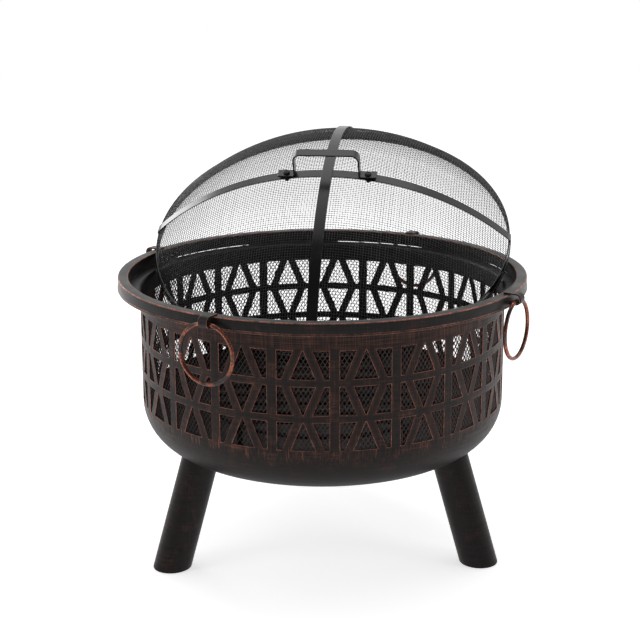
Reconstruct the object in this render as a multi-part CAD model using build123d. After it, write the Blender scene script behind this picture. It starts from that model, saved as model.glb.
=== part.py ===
"""Deep-bowl steel fire pit with a log grate, a domed spark screen and four ring handles.

Millimetres, +Z up, -Y is the front. The origin lies on the floor under the middle of the
whole outline: the leaning screen overhangs at the back, so the bowl's axis stands a little
in front of it. The functions below build everything round the bowl's axis, and all_nodes()
moves the finished pieces. Each physical piece is one node, written as parts/NODE.step.
"""
import math
import os

from build123d import *

# ---------------------------------------------------------------- driving dimensions
RIM_OD = 750.0            # across the rim, the widest part of the pit
RIM_HEIGHT = 512.0        # floor to the top of the rim
BOWL_DEPTH = 322.0        # rim top to the underside of the bowl

# rim: an inverted channel rolled from strip
RIM_FACE = 19.0           # width of the flat top face
RIM_BAND = 22.0           # height of the outer band
RIM_SHEET = 2.0
RIM_HEM = 1.0             # how far the rolled bottom edge stands proud
RIM_HEM_HEIGHT = 3.0
RIM_STITCHES = 6          # stitch welds between rim and bowl flange
RIM_STITCH_ANGLE = 30.0
RIM_STITCH_START = 25.0   # heading of the first stitch weld
RIM_SEAM = 1.4            # open seam left between the stitches

# bowl: spun sheet with an outward flange, a straight wall and a round corner
BOWL_SHEET = 1.6
LEDGE_WIDTH = 22.0        # flange between the wall and the rim's inner band
LEDGE_BEND = 5.0          # bend between wall and flange
CORNER_RADIUS = 89.0

# the wall's cut-outs: three rows of cells, each cell crossed by two slanted bars
CELLS = 20
CELL_START = 3.4          # heading of one upright bar, right of the front
UPRIGHT_BAR = 17.6
SLANT_BAR = 15.5          # measured level
SIDE_NARROW = 7.5         # narrow end of the side openings
ROW_BAR = 13.0
ROW_TOP = 58.0            # rim top to the top of the first row
ROW_FOOT = 2.0            # plain wall left between the last row and the round corner
ROWS = 3
CUT_CORNER = 0.8          # burned corner of each opening

# expanded-metal liner behind the cut-outs
LINER_SHEET = 1.2
LINER_LAP = 6.0           # how far it reaches past the top row

# legs: three leaning tubes
LEGS = 3
LEG_OD = 67.0
LEG_WALL = 2.0
LEG_SPLAY = 17.6          # lean from upright, degrees
LEG_FOOT_RADIUS = 322.0   # axis to the middle of each foot
LEG_TURN = 1.8            # headings turned right of an even spread about the front
FOOT_CAP = 6.0
FOOT_SPIGOT = 14.0
FOOT_SHEET = 2.5
FOOT_EDGE = 2.0
PLATE_SHEET = 3.0
PLATE_WIDTH = 60.0
PLATE_REACH = 80.0
BOLT_D = 8.0
BOLT_HEAD_D = 18.0
BOLT_HEAD_H = 4.0
BOLT_SPREAD = 34.0
BOLT_INSET = 20.0         # bolt row to the inner end of the plate
NUT_ACROSS = 13.0
NUT_H = 6.5
BOLT_TAIL = 3.0
HOLE_PLAY = 0.4

# ring handles and their hooks
HANDLES = 4
HANDLE_START = -29.5      # heading of the first ring, left of the front
RING_OD = 110.0
RING_WIRE = 7.0
HOOK_WIDTH = 17.0
HOOK_SHEET = 3.0
HOOK_INSIDE = 15.0        # clear height inside the hook
HOOK_TAB = 12.0           # tab lying on the rim's top face
RING_PLAY = 0.3

# log grate
GRATE_RING_D = 420.0
GRATE_BAR_D = 10.0
GRATE_BARS = 7
GRATE_FEET = 4
GRATE_LIFT = 70.0         # bowl floor to the middle of the grate's ring
WELD_SINK = 0.1

# spark screen
SCREEN_OVERLAP = 9.6      # hoop's outer radius beyond the wall's inside radius
SCREEN_WIRE = 5.0
SCREEN_BAND = 16.0
SCREEN_BAND_SHEET = 1.5
SCREEN_RISE = 144.0       # dome rise above the band
SCREEN_MESH = 1.2
STRAP_WIDTH = 20.0
STRAP_SHEET = 2.0
SCREEN_TILT = 27.6        # how far the screen leans
SCREEN_HEADING = 7.8      # its high side points this far right of straight back
SCREEN_CENTRE_ABOVE_RIM = 22.6
SCREEN_GAP = 0.3          # left between the hoop and the rim it leans on

# lift handle on the screen
GRIP_SPAN = 122.0
GRIP_HEIGHT = 48.0
GRIP_SHEET = 3.0
GRIP_BEND = 14.0
GRIP_FOOT = 32.0
SCREW_D = 6.0
SCREW_HEAD_D = 12.0
SCREW_HEAD_H = 4.0
SCREW_NUT_ACROSS = 10.0
SCREW_NUT_H = 5.0

# ---------------------------------------------------------------- derived sizes
RIM_R = RIM_OD / 2
RIM_INNER_R = RIM_R - RIM_FACE
WALL_INNER_R = RIM_INNER_R - LEDGE_WIDTH
WALL_R = WALL_INNER_R + BOWL_SHEET
LEDGE_Z = RIM_HEIGHT - RIM_BAND - RIM_SEAM - 0.6
BOWL_UNDERSIDE = RIM_HEIGHT - BOWL_DEPTH
BOWL_FLOOR = BOWL_UNDERSIDE + BOWL_SHEET
CORNER_Z = BOWL_UNDERSIDE + CORNER_RADIUS
PIERCED_HEIGHT = BOWL_DEPTH - CORNER_RADIUS - ROW_FOOT - ROW_TOP
ROW_HEIGHT = (PIERCED_HEIGHT - (ROWS - 1) * ROW_BAR) / ROWS
FLAT_R = WALL_R - CORNER_RADIUS
SPLAY = math.radians(LEG_SPLAY)


def outward(heading):
    """Unit vector pointing away from the axis; heading 0 is the front, + turns right."""
    a = math.radians(heading)
    return Vector(math.sin(a), -math.cos(a), 0)


def along(heading):
    """Unit vector running round the pit at a heading, square to outward()."""
    a = math.radians(heading)
    return Vector(math.cos(a), math.sin(a), 0)


def facing(heading):
    """Turn a piece built on the front so that it sits at a heading."""
    return Rot(0, 0, heading)


def spin(face):
    """Revolve a face drawn in the XZ plane right round the upright axis."""
    return revolve(face, axis=Axis.Z, revolution_arc=360)


def ring_of(section_r, height, wire):
    """A hoop of round wire lying level."""
    section = Plane.XZ * Pos(section_r, height) * Circle(wire / 2)
    return spin(section)


# ---------------------------------------------------------------- bowl and rim
def bowl_section():
    """Half section of the bowl's sheet, from flange to the middle of the floor."""
    flange_r = RIM_INNER_R + RIM_SHEET + 0.5
    bend_in = LEDGE_BEND
    bend_out = LEDGE_BEND - BOWL_SHEET
    bend_x = WALL_INNER_R + LEDGE_BEND
    bend_z = LEDGE_Z - LEDGE_BEND
    corner_in = CORNER_RADIUS - BOWL_SHEET
    s = math.sqrt(0.5)
    with BuildSketch(Plane.XZ) as sk:
        with BuildLine():
            Line((0, BOWL_FLOOR), (FLAT_R, BOWL_FLOOR))
            RadiusArc((FLAT_R, BOWL_FLOOR), (WALL_INNER_R, CORNER_Z), -corner_in)
            Line((WALL_INNER_R, CORNER_Z), (WALL_INNER_R, bend_z))
            ThreePointArc((WALL_INNER_R, bend_z),
                          (bend_x - bend_in * s, bend_z + bend_in * s),
                          (bend_x, LEDGE_Z))
            Line((bend_x, LEDGE_Z), (flange_r, LEDGE_Z))
            Line((flange_r, LEDGE_Z), (flange_r, LEDGE_Z - BOWL_SHEET))
            Line((flange_r, LEDGE_Z - BOWL_SHEET), (bend_x, LEDGE_Z - BOWL_SHEET))
            ThreePointArc((bend_x, LEDGE_Z - BOWL_SHEET),
                          (bend_x - bend_out * s, bend_z + bend_out * s),
                          (WALL_R, bend_z))
            Line((WALL_R, bend_z), (WALL_R, CORNER_Z))
            RadiusArc((WALL_R, CORNER_Z), (FLAT_R, BOWL_UNDERSIDE), CORNER_RADIUS)
            Line((FLAT_R, BOWL_UNDERSIDE), (0, BOWL_UNDERSIDE))
            Line((0, BOWL_UNDERSIDE), (0, BOWL_FLOOR))
        make_face()
    return sk.sketch


def bowl_envelope():
    """Everything inside the bowl's outer skin, used to cope the pieces welded under it."""
    with BuildSketch(Plane.XZ) as sk:
        with BuildLine():
            Line((0, BOWL_UNDERSIDE), (FLAT_R, BOWL_UNDERSIDE))
            RadiusArc((FLAT_R, BOWL_UNDERSIDE), (WALL_R, CORNER_Z), -CORNER_RADIUS)
            Line((WALL_R, CORNER_Z), (WALL_R, LEDGE_Z))
            Line((WALL_R, LEDGE_Z), (0, LEDGE_Z))
            Line((0, LEDGE_Z), (0, BOWL_UNDERSIDE))
        make_face()
    return spin(sk.sketch)


def cell_openings(row):
    """The three openings of one cell as corner lists, level distance by height."""
    pitch = 2 * math.pi * WALL_R / CELLS
    half = (pitch - UPRIGHT_BAR) / 2
    top = RIM_HEIGHT - ROW_TOP - row * (ROW_HEIGHT + ROW_BAR)
    low = top - ROW_HEIGHT
    base = half - SIDE_NARROW - SLANT_BAR
    if row % 2 == 0:
        apex_z, base_z = top, low
    else:
        apex_z, base_z = low, top
    tip = CUT_CORNER
    middle = [(-tip, apex_z), (tip, apex_z), (base, base_z), (-base, base_z)]
    wide = tip + SLANT_BAR
    right = [(wide, apex_z), (half, apex_z), (half, base_z), (half - SIDE_NARROW, base_z)]
    left = [(-x, z) for x, z in right]
    return [middle, right, left]


def cell_cutters():
    """Prisms that cut one cell of every row, at the front."""
    plane = Plane(origin=(0, -WALL_R - 6, 0), x_dir=(1, 0, 0), z_dir=(0, -1, 0))
    cutters = []
    for row in range(ROWS):
        for corners in cell_openings(row):
            outline = make_face(Polyline(*corners, close=True))
            cutters.append(extrude(plane * outline, -16))
    return cutters


def bolt_spots():
    """Heading and offset of every leg bolt, one pair to each leg."""
    spots = []
    for heading in leg_headings():
        base = outward(heading) * (plate_inner_r() + BOLT_INSET)
        for side in (-1, 1):
            spots.append(base + along(heading) * (side * BOLT_SPREAD / 2))
    return spots


def bowl():
    body = spin(bowl_section())
    one_cell = cell_cutters()
    cutters = []
    for k in range(CELLS):
        turn = facing(CELL_START + (k + 0.5) * 360 / CELLS)
        cutters += [turn * c for c in one_cell]
    for spot in bolt_spots():
        hole = Cylinder((BOLT_D + HOLE_PLAY) / 2, 20)
        cutters.append(Pos(spot.X, spot.Y, BOWL_UNDERSIDE) * hole)
    return body - cutters


def mesh_liner():
    """A sheet rolled to lie against the wall's inside; its diamonds belong to the look."""
    top = RIM_HEIGHT - ROW_TOP + LINER_LAP
    low = CORNER_Z + 0.5
    section = Plane.XZ * Pos(WALL_INNER_R - LINER_SHEET / 2, (top + low) / 2) \
        * Rectangle(LINER_SHEET, top - low)
    return spin(section)


def rim_ring():
    """Inverted channel: outer band with a hem, flat face, inner band."""
    inner_low = LEDGE_Z + RIM_SEAM
    low = RIM_HEIGHT - RIM_BAND
    hem = low + RIM_HEM_HEIGHT
    pts = [(RIM_INNER_R, inner_low), (RIM_INNER_R, RIM_HEIGHT - 1), (RIM_INNER_R + 1, RIM_HEIGHT),
           (RIM_R - 1, RIM_HEIGHT), (RIM_R, RIM_HEIGHT - 1), (RIM_R, hem + RIM_HEM / 2),
           (RIM_R + RIM_HEM, hem), (RIM_R + RIM_HEM, low + RIM_HEM / 2),
           (RIM_R + RIM_HEM / 2, low), (RIM_R - RIM_SHEET, low),
           (RIM_R - RIM_SHEET, RIM_HEIGHT - RIM_SHEET),
           (RIM_INNER_R + RIM_SHEET, RIM_HEIGHT - RIM_SHEET),
           (RIM_INNER_R + RIM_SHEET, inner_low)]
    return spin(Plane.XZ * make_face(Polyline(*pts, close=True)))


def rim_welds():
    """Short stitch welds that carry the rim on the bowl's flange."""
    section = Plane.XZ * Pos(RIM_INNER_R + RIM_SHEET / 2, LEDGE_Z + RIM_SEAM / 2) \
        * Rectangle(RIM_SHEET, RIM_SEAM)
    bead = revolve(section, axis=Axis.Z, revolution_arc=RIM_STITCH_ANGLE)
    pitch = 360 / RIM_STITCHES
    return [facing(RIM_STITCH_START + k * pitch) * bead for k in range(RIM_STITCHES)]


# ---------------------------------------------------------------- legs
def leg_headings():
    """Two legs at the front, the rest spaced evenly round to the back."""
    return [LEG_TURN - 180 / LEGS + k * 360 / LEGS for k in range(LEGS)]


def leg_line(heading):
    """Foot point on the floor and the leg's direction, pointing up and inward."""
    foot = outward(heading) * LEG_FOOT_RADIUS
    rise = outward(heading) * (-math.sin(SPLAY)) + Vector(0, 0, math.cos(SPLAY))
    return foot, rise


def leg_rod(heading, radius, low, high):
    """A leaning round bar cut level at two heights."""
    foot, rise = leg_line(heading)
    length = (high + 2 * LEG_OD) / math.cos(SPLAY)
    start = foot - rise * LEG_OD
    plane = Plane(origin=start, x_dir=along(heading), z_dir=rise)
    rod = extrude(plane * Circle(radius), length + LEG_OD)
    slab = Pos(0, 0, (low + high) / 2) * Box(3 * RIM_OD, 3 * RIM_OD, high - low)
    return rod & slab


def plate_inner_r():
    """Inner end of the mounting plate; its outer end stays on the bowl's flat floor."""
    return FLAT_R - 2 - PLATE_REACH


def leg_plate(heading):
    """Flat plate welded across the leg's top and bolted to the bowl's floor."""
    middle = outward(heading) * (plate_inner_r() + PLATE_REACH / 2)
    plane = Plane(origin=(middle.X, middle.Y, BOWL_UNDERSIDE - PLATE_SHEET),
                  x_dir=outward(heading), z_dir=(0, 0, 1))
    outline = RectangleRounded(PLATE_REACH, PLATE_WIDTH, 8)
    plate = extrude(plane * outline, PLATE_SHEET)
    holes = []
    for spot in bolt_spots():
        holes.append(Pos(spot.X, spot.Y, BOWL_UNDERSIDE) * Cylinder((BOLT_D + HOLE_PLAY) / 2, 20))
    return plate - holes


def leg(heading, envelope):
    """Round tube, cut level above its foot cap and coped to the bowl and plate."""
    outer = leg_rod(heading, LEG_OD / 2, FOOT_CAP, CORNER_Z)
    inner = leg_rod(heading, LEG_OD / 2 - LEG_WALL, FOOT_CAP - 1, CORNER_Z + 1)
    middle = outward(heading) * (plate_inner_r() + PLATE_REACH / 2)
    plane = Plane(origin=(middle.X, middle.Y, BOWL_UNDERSIDE - PLATE_SHEET),
                  x_dir=outward(heading), z_dir=(0, 0, 1))
    plate = extrude(plane * RectangleRounded(PLATE_REACH, PLATE_WIDTH, 8), PLATE_SHEET)
    return outer - inner - envelope - plate


def foot_cap(heading):
    """Pressed cap closing the leg's foot, with a hollow spigot inside the tube."""
    cap = leg_rod(heading, LEG_OD / 2, 0, FOOT_CAP)
    edge = cap.edges().filter_by(GeomType.ELLIPSE).sort_by(Axis.Z)[0]
    cap = fillet(edge, FOOT_EDGE)
    bore = LEG_OD / 2 - LEG_WALL
    spigot = leg_rod(heading, bore, FOOT_CAP - 1, FOOT_CAP + FOOT_SPIGOT)
    hollow = leg_rod(heading, bore - FOOT_SHEET, FOOT_SHEET, FOOT_CAP + FOOT_SPIGOT + 1)
    return cap + spigot - hollow


def leg_bolts():
    """Dome-headed bolts put down through the bowl's floor."""
    low = BOWL_UNDERSIDE - PLATE_SHEET - NUT_H - BOLT_TAIL
    shank = extrude(Plane.XY.offset(low) * Circle(BOLT_D / 2), BOWL_FLOOR - low + 1)
    dome_r = (BOLT_HEAD_D ** 2 / 4 + BOLT_HEAD_H ** 2) / (2 * BOLT_HEAD_H)
    ball = Pos(0, 0, BOWL_FLOOR + BOLT_HEAD_H - dome_r) * Sphere(dome_r)
    slab = extrude(Plane.XY.offset(BOWL_FLOOR) * Circle(BOLT_HEAD_D), BOLT_HEAD_H * 2)
    bolt = shank + (ball & slab)
    return [Pos(s.X, s.Y, 0) * bolt for s in bolt_spots()]


def leg_nuts():
    """Hexagon nuts drawn up under the plates."""
    top = BOWL_UNDERSIDE - PLATE_SHEET
    hexagon = RegularPolygon(NUT_ACROSS / 2, 6, major_radius=False)
    nut = extrude(Plane.XY.offset(top - NUT_H) * (hexagon - Circle(BOLT_D / 2)), NUT_H)
    return [Pos(s.X, s.Y, 0) * nut for s in bolt_spots()]


# ---------------------------------------------------------------- ring handles
def hook_centre_r():
    return RIM_R + HOOK_INSIDE / 2 + HOOK_SHEET


def hook_centre_z():
    return RIM_HEIGHT - HOOK_INSIDE / 2


def ring_pivot():
    """Radius and height of the ring's wire where it hangs in the hook."""
    mean = (RING_OD - RING_WIRE) / 2
    sag = mean - math.sqrt(mean ** 2 - (HOOK_WIDTH / 2) ** 2)
    return hook_centre_r(), RIM_HEIGHT - HOOK_INSIDE + RING_WIRE / 2 + sag + RING_PLAY


def ring_bracket(heading):
    """Strip laid on the rim, bent out and round, and welded back to the band."""
    r = hook_centre_r()
    z = hook_centre_z()
    inside = HOOK_INSIDE / 2
    outside = inside + HOOK_SHEET
    start = RIM_R - HOOK_TAB
    with BuildSketch(Plane.YZ) as sk:
        with BuildLine():
            Line((-start, z + inside), (-r, z + inside))
            ThreePointArc((-r, z + inside), (-r - inside, z), (-r, z - inside))
            Line((-r, z - inside), (-RIM_R + 3, z - inside))
            Line((-RIM_R + 3, z - inside), (-RIM_R + 3, z - outside))
            Line((-RIM_R + 3, z - outside), (-r, z - outside))
            ThreePointArc((-r, z - outside), (-r - outside, z), (-r, z + outside))
            Line((-r, z + outside), (-start, z + outside))
            Line((-start, z + outside), (-start, z + inside))
        make_face()
    strip = extrude(sk.sketch, HOOK_WIDTH / 2, both=True)
    rim = Cylinder(RIM_R, RIM_HEIGHT, align=(Align.CENTER, Align.CENTER, Align.MIN))
    return facing(heading) * (strip - rim)


def ring_handle(heading):
    """Closed ring of round bar hanging flat to the bowl."""
    r, z = ring_pivot()
    mean = (RING_OD - RING_WIRE) / 2
    hoop = Torus(mean, RING_WIRE / 2)
    return facing(heading) * Pos(0, -r, z - mean) * Rot(90, 0, 0) * hoop


# ---------------------------------------------------------------- log grate
def grate_z():
    return BOWL_FLOOR + GRATE_LIFT


def log_grate_ring():
    return ring_of(GRATE_RING_D / 2, grate_z(), GRATE_BAR_D)


def log_grate_bars():
    """Parallel bars lying on the ring, their ends level with its outside."""
    bars = []
    z = grate_z() + GRATE_BAR_D - WELD_SINK
    pitch = GRATE_RING_D / (GRATE_BARS + 1)
    for k in range(GRATE_BARS):
        y = (k - (GRATE_BARS - 1) / 2) * pitch
        half = math.sqrt((GRATE_RING_D / 2) ** 2 - y ** 2) + GRATE_BAR_D / 2
        plane = Plane(origin=(-half, y, z), x_dir=(0, 1, 0), z_dir=(1, 0, 0))
        bars.append(extrude(plane * Circle(GRATE_BAR_D / 2), 2 * half))
    return bars


def log_grate_feet():
    """Short posts from the bowl's floor to the underside of the ring."""
    feet = []
    top = grate_z() - GRATE_BAR_D / 2 + WELD_SINK / 2
    for k in range(GRATE_FEET):
        spot = outward(45 + k * 360 / GRATE_FEET) * (GRATE_RING_D / 2)
        post = extrude(Plane.XY.offset(BOWL_FLOOR) * Circle(GRATE_BAR_D / 2), top - BOWL_FLOOR)
        feet.append(Pos(spot.X, spot.Y, 0) * post)
    return feet


# ---------------------------------------------------------------- spark screen
def hoop_r():
    """Middle of the hoop's wire."""
    return WALL_INNER_R + SCREEN_OVERLAP - SCREEN_WIRE / 2


def hoop_clearance(offset):
    """Least gap from the leaning hoop's wire to the rim's inner lip and the ledge's bend."""
    tilt = math.radians(SCREEN_TILT)
    least = 1e9
    bend_r = WALL_INNER_R + LEDGE_BEND
    bend_z = LEDGE_Z - LEDGE_BEND
    for k in range(3600):
        a = math.radians(k / 10)
        x = hoop_r() * math.sin(a)
        y = offset - hoop_r() * math.cos(a) * math.cos(tilt)
        z = RIM_HEIGHT + SCREEN_CENTRE_ABOVE_RIM - hoop_r() * math.cos(a) * math.sin(tilt)
        r = math.hypot(x, y)
        lip = math.hypot(min(r - RIM_INNER_R - 1, 0), z - RIM_HEIGHT)
        if z < RIM_HEIGHT:
            lip = RIM_INNER_R - r
        if z < LEDGE_Z - LEDGE_BEND:
            bend = WALL_INNER_R - r
        else:
            bend = math.hypot(r - bend_r, z - bend_z) - LEDGE_BEND
        least = min(least, lip, bend)
    return least - SCREEN_WIRE / 2


def screen_offset():
    """Push the leaning screen back until its hoop all but touches the rim."""
    near, far = 0.0, RIM_R
    for _ in range(40):
        mid = (near + far) / 2
        if hoop_clearance(mid) > SCREEN_GAP:
            near = mid
        else:
            far = mid
    return near


def leaning():
    """Placement of the screen's own upright frame in its leaning rest."""
    back = screen_offset()
    turn = math.radians(SCREEN_HEADING)
    spot = Pos(back * math.sin(turn), back * math.cos(turn), RIM_HEIGHT + SCREEN_CENTRE_ABOVE_RIM)
    return spot * Rot(0, 0, -SCREEN_HEADING) * Rot(SCREEN_TILT, 0, 0)


def band_low():
    return SCREEN_WIRE / 2


def band_top():
    return band_low() + SCREEN_BAND


def band_inner_r():
    return hoop_r() - SCREEN_BAND_SHEET / 2


def arc_radius(half_span, rise):
    return (half_span ** 2 + rise ** 2) / (2 * rise)


def screen_base_ring():
    return ring_of(hoop_r(), 0, SCREEN_WIRE)


def screen_band():
    section = Plane.XZ * Pos(hoop_r(), (band_low() + band_top()) / 2) \
        * Rectangle(SCREEN_BAND_SHEET, SCREEN_BAND)
    return spin(section)


def dome_outer():
    """Outer radius of the dome's sphere and the height of its centre."""
    radius = arc_radius(band_inner_r(), SCREEN_RISE)
    return radius, band_top() + SCREEN_RISE - radius


def screen_mesh():
    """Thin dome standing in for the woven wire, with its skirt inside the band."""
    radius, centre = dome_outer()
    edge = band_inner_r()
    inner = radius - SCREEN_MESH
    edge_in = edge - SCREEN_MESH
    inner_z = centre + math.sqrt(inner ** 2 - edge_in ** 2)
    low = band_low() + 1
    lean = math.asin(edge / radius) / 2
    lean_in = math.asin(edge_in / inner) / 2
    with BuildSketch(Plane.XZ) as sk:
        with BuildLine():
            ThreePointArc((0, centre + radius),
                          (radius * math.sin(lean), centre + radius * math.cos(lean)),
                          (edge, band_top()))
            Line((edge, band_top()), (edge, low))
            Line((edge, low), (edge_in, low))
            Line((edge_in, low), (edge_in, inner_z))
            ThreePointArc((edge_in, inner_z),
                          (inner * math.sin(lean_in), centre + inner * math.cos(lean_in)),
                          (0, centre + inner))
            Line((0, centre + inner), (0, centre + radius))
        make_face()
    holes = [Pos(x, 0, 0) * screw_hole() for x in screw_spots()]
    return spin(sk.sketch) - holes


def strap_arc(inner_rise, sheet):
    """Curved strip over the dome, in the XZ plane, ending on the band's outside."""
    span = hoop_r() + SCREEN_BAND_SHEET / 2
    low = arc_radius(span, inner_rise)
    centre = band_top() + inner_rise - low
    high = low + sheet
    out = span + sheet
    drop = band_top() - SCREEN_BAND * 0.6
    shoulder = centre + math.sqrt(high ** 2 - out ** 2)
    with BuildSketch(Plane.XZ) as sk:
        with BuildLine():
            ThreePointArc((-span, band_top()), (0, centre + low), (span, band_top()))
            Line((span, band_top()), (span, drop))
            Line((span, drop), (out, drop))
            Line((out, drop), (out, shoulder))
            ThreePointArc((out, shoulder), (0, centre + high), (-out, shoulder))
            Line((-out, shoulder), (-out, drop))
            Line((-out, drop), (-span, drop))
            Line((-span, drop), (-span, band_top()))
        make_face()
    return extrude(sk.sketch, STRAP_WIDTH / 2, both=True)


def side_rise():
    """Rise of the under strap, lying on the mesh at the crown."""
    radius, centre = dome_outer()
    return centre + radius - band_top()


def screen_strap_side():
    holes = [Pos(x, 0, 0) * screw_hole() for x in screw_spots()]
    return strap_arc(side_rise(), STRAP_SHEET) - holes


def screen_strap_front_back():
    """Upper strap; it clears the flat top of the one under it by its own sag."""
    under = arc_radius(hoop_r() + SCREEN_BAND_SHEET / 2, side_rise())
    sag = under - math.sqrt(under ** 2 - (STRAP_WIDTH / 2) ** 2)
    return Rot(0, 0, 90) * strap_arc(side_rise() + STRAP_SHEET + 1.1 * sag, STRAP_SHEET)


# ---------------------------------------------------------------- lift handle
def side_strap_top(x):
    """Height of the under strap's upper face at a distance from the crown."""
    span = hoop_r() + SCREEN_BAND_SHEET / 2
    low = arc_radius(span, side_rise())
    centre = band_top() + side_rise() - low
    return centre + math.sqrt((low + STRAP_SHEET) ** 2 - x ** 2)


def screw_spots():
    reach = GRIP_SPAN / 2 + GRIP_FOOT / 2
    return [-reach, reach]


def screw_hole():
    return extrude(Plane.XY.offset(0) * Circle((SCREW_D + HOLE_PLAY) / 2), 3 * SCREEN_RISE)


def foot_level():
    """The handle's feet lie flat on the strap at the screws' outer side."""
    return side_strap_top(GRIP_SPAN / 2)


def screen_handle():
    """Strip bent to a bridge with two outward feet."""
    base = foot_level()
    top = side_strap_top(0) + GRIP_HEIGHT
    half = GRIP_SPAN / 2
    end = half + GRIP_FOOT
    path = Polyline((-end, base + GRIP_SHEET / 2), (-half, base + GRIP_SHEET / 2),
                    (-half, top - GRIP_SHEET / 2), (half, top - GRIP_SHEET / 2),
                    (half, base + GRIP_SHEET / 2), (end, base + GRIP_SHEET / 2))
    corners = path.vertices().sort_by(Axis.Y)
    upper = [v for v in corners if v.Y > base + GRIP_SHEET]
    path = fillet(upper, GRIP_BEND)
    lower = [v for v in path.vertices() if abs(v.Y - base - GRIP_SHEET / 2) < 0.01
             and abs(abs(v.X) - half) < 0.1]
    path = fillet(lower, GRIP_SHEET * 1.2)
    strip = Plane.XZ * make_strip(path)
    grip = extrude(strip, STRAP_WIDTH / 2, both=True)
    holes = [Pos(x, 0, 0) * screw_hole() for x in screw_spots()]
    return grip - holes


def make_strip(path):
    """Give a bent centre line the sheet's thickness."""
    return trace(path, GRIP_SHEET)


def screw_stack(x):
    """Heights under the screw's head and under the mesh at a screw."""
    radius, centre = dome_outer()
    head = foot_level() + GRIP_SHEET
    under = centre + math.sqrt((radius - SCREEN_MESH) ** 2 - (abs(x) + SCREW_NUT_ACROSS / 2) ** 2)
    return head, under - 0.2


def screen_handle_screws():
    screws = []
    for x in screw_spots():
        head, under = screw_stack(x)
        low = under - SCREW_NUT_H - 2
        shank = extrude(Plane.XY.offset(low) * Circle(SCREW_D / 2), head - low + 1)
        cap = extrude(Plane.XY.offset(head) * Circle(SCREW_HEAD_D / 2), SCREW_HEAD_H)
        rim = cap.edges().filter_by(GeomType.CIRCLE).sort_by(Axis.Z)[-1]
        cap = fillet(rim, SCREW_HEAD_H * 0.45)
        slot = Pos(0, 0, head + SCREW_HEAD_H) * (Box(7, 1.4, 3) + Box(1.4, 7, 3))
        screws.append(Pos(x, 0, 0) * (shank + cap - slot))
    return screws


def screen_handle_nuts():
    nuts = []
    hexagon = RegularPolygon(SCREW_NUT_ACROSS / 2, 6, major_radius=False) - Circle(SCREW_D / 2)
    for x in screw_spots():
        head, under = screw_stack(x)
        nut = extrude(Plane.XY.offset(under - SCREW_NUT_H) * hexagon, SCREW_NUT_H)
        nuts.append(Pos(x, 0, 0) * nut)
    return nuts


# ---------------------------------------------------------------- assembly
def solids_of(shape):
    """Flatten one piece, or a list of like pieces, to plain solids."""
    if isinstance(shape, (list, tuple)):
        found = []
        for item in shape:
            found += solids_of(item)
        return found
    return list(shape.solids())


def outline_middle(nodes):
    """How far behind the bowl's axis the middle of the whole outline lies."""
    boxes = [s.bounding_box() for shape in nodes.values() for s in solids_of(shape)]
    return (min(b.min.Y for b in boxes) + max(b.max.Y for b in boxes)) / 2


def all_nodes():
    nodes = {}
    envelope = bowl_envelope()
    nodes["bowl"] = bowl()
    nodes["mesh_liner"] = mesh_liner()
    nodes["rim_ring"] = rim_ring()
    nodes["rim_welds"] = rim_welds()
    for k, heading in enumerate(leg_headings(), 1):
        nodes[f"leg_{k}"] = leg(heading, envelope)
        nodes[f"leg_plate_{k}"] = leg_plate(heading)
    nodes["leg_foot_caps"] = [foot_cap(h) for h in leg_headings()]
    nodes["leg_bolts"] = leg_bolts()
    nodes["leg_nuts"] = leg_nuts()
    for k in range(HANDLES):
        heading = HANDLE_START + k * 360 / HANDLES
        nodes[f"ring_bracket_{k + 1}"] = ring_bracket(heading)
        nodes[f"ring_handle_{k + 1}"] = ring_handle(heading)
    nodes["log_grate_ring"] = log_grate_ring()
    nodes["log_grate_bars"] = log_grate_bars()
    nodes["log_grate_feet"] = log_grate_feet()
    place = leaning()
    screen = {
        "screen_base_ring": screen_base_ring(),
        "screen_band": screen_band(),
        "screen_mesh": screen_mesh(),
        "screen_strap_side": screen_strap_side(),
        "screen_strap_front_back": screen_strap_front_back(),
        "screen_handle": screen_handle(),
        "screen_handle_screws": screen_handle_screws(),
        "screen_handle_nuts": screen_handle_nuts(),
    }
    for name, shape in screen.items():
        nodes[name] = [place * s for s in solids_of(shape)]
    move = Pos(0, -outline_middle(nodes), 0)
    return {name: [move * s for s in solids_of(shape)] for name, shape in nodes.items()}


def write_parts():
    os.makedirs("parts", exist_ok=True)
    for name, shape in all_nodes().items():
        solids = solids_of(shape)
        piece = solids[0] if len(solids) == 1 else Compound(children=solids)
        piece.label = name
        export_step(piece, f"parts/{name}.step")
        print(f"{name:26s} {len(solids):3d} solid(s) {sum(s.volume for s in solids) / 1000:9.1f} cm3")


write_parts()
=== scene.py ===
# %% [markdown]
# # A pierced steel fire pit, piece by piece
# The real pit is a workshop job in thin steel: a spun bowl with a burned-out pattern, a rolled rim, tube
# legs, hooks and rings of bar, a log grate, and a spark screen of woven wire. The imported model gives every
# piece its place. This lesson makes each piece again as it would be looked at, and gives it its finish.

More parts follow.
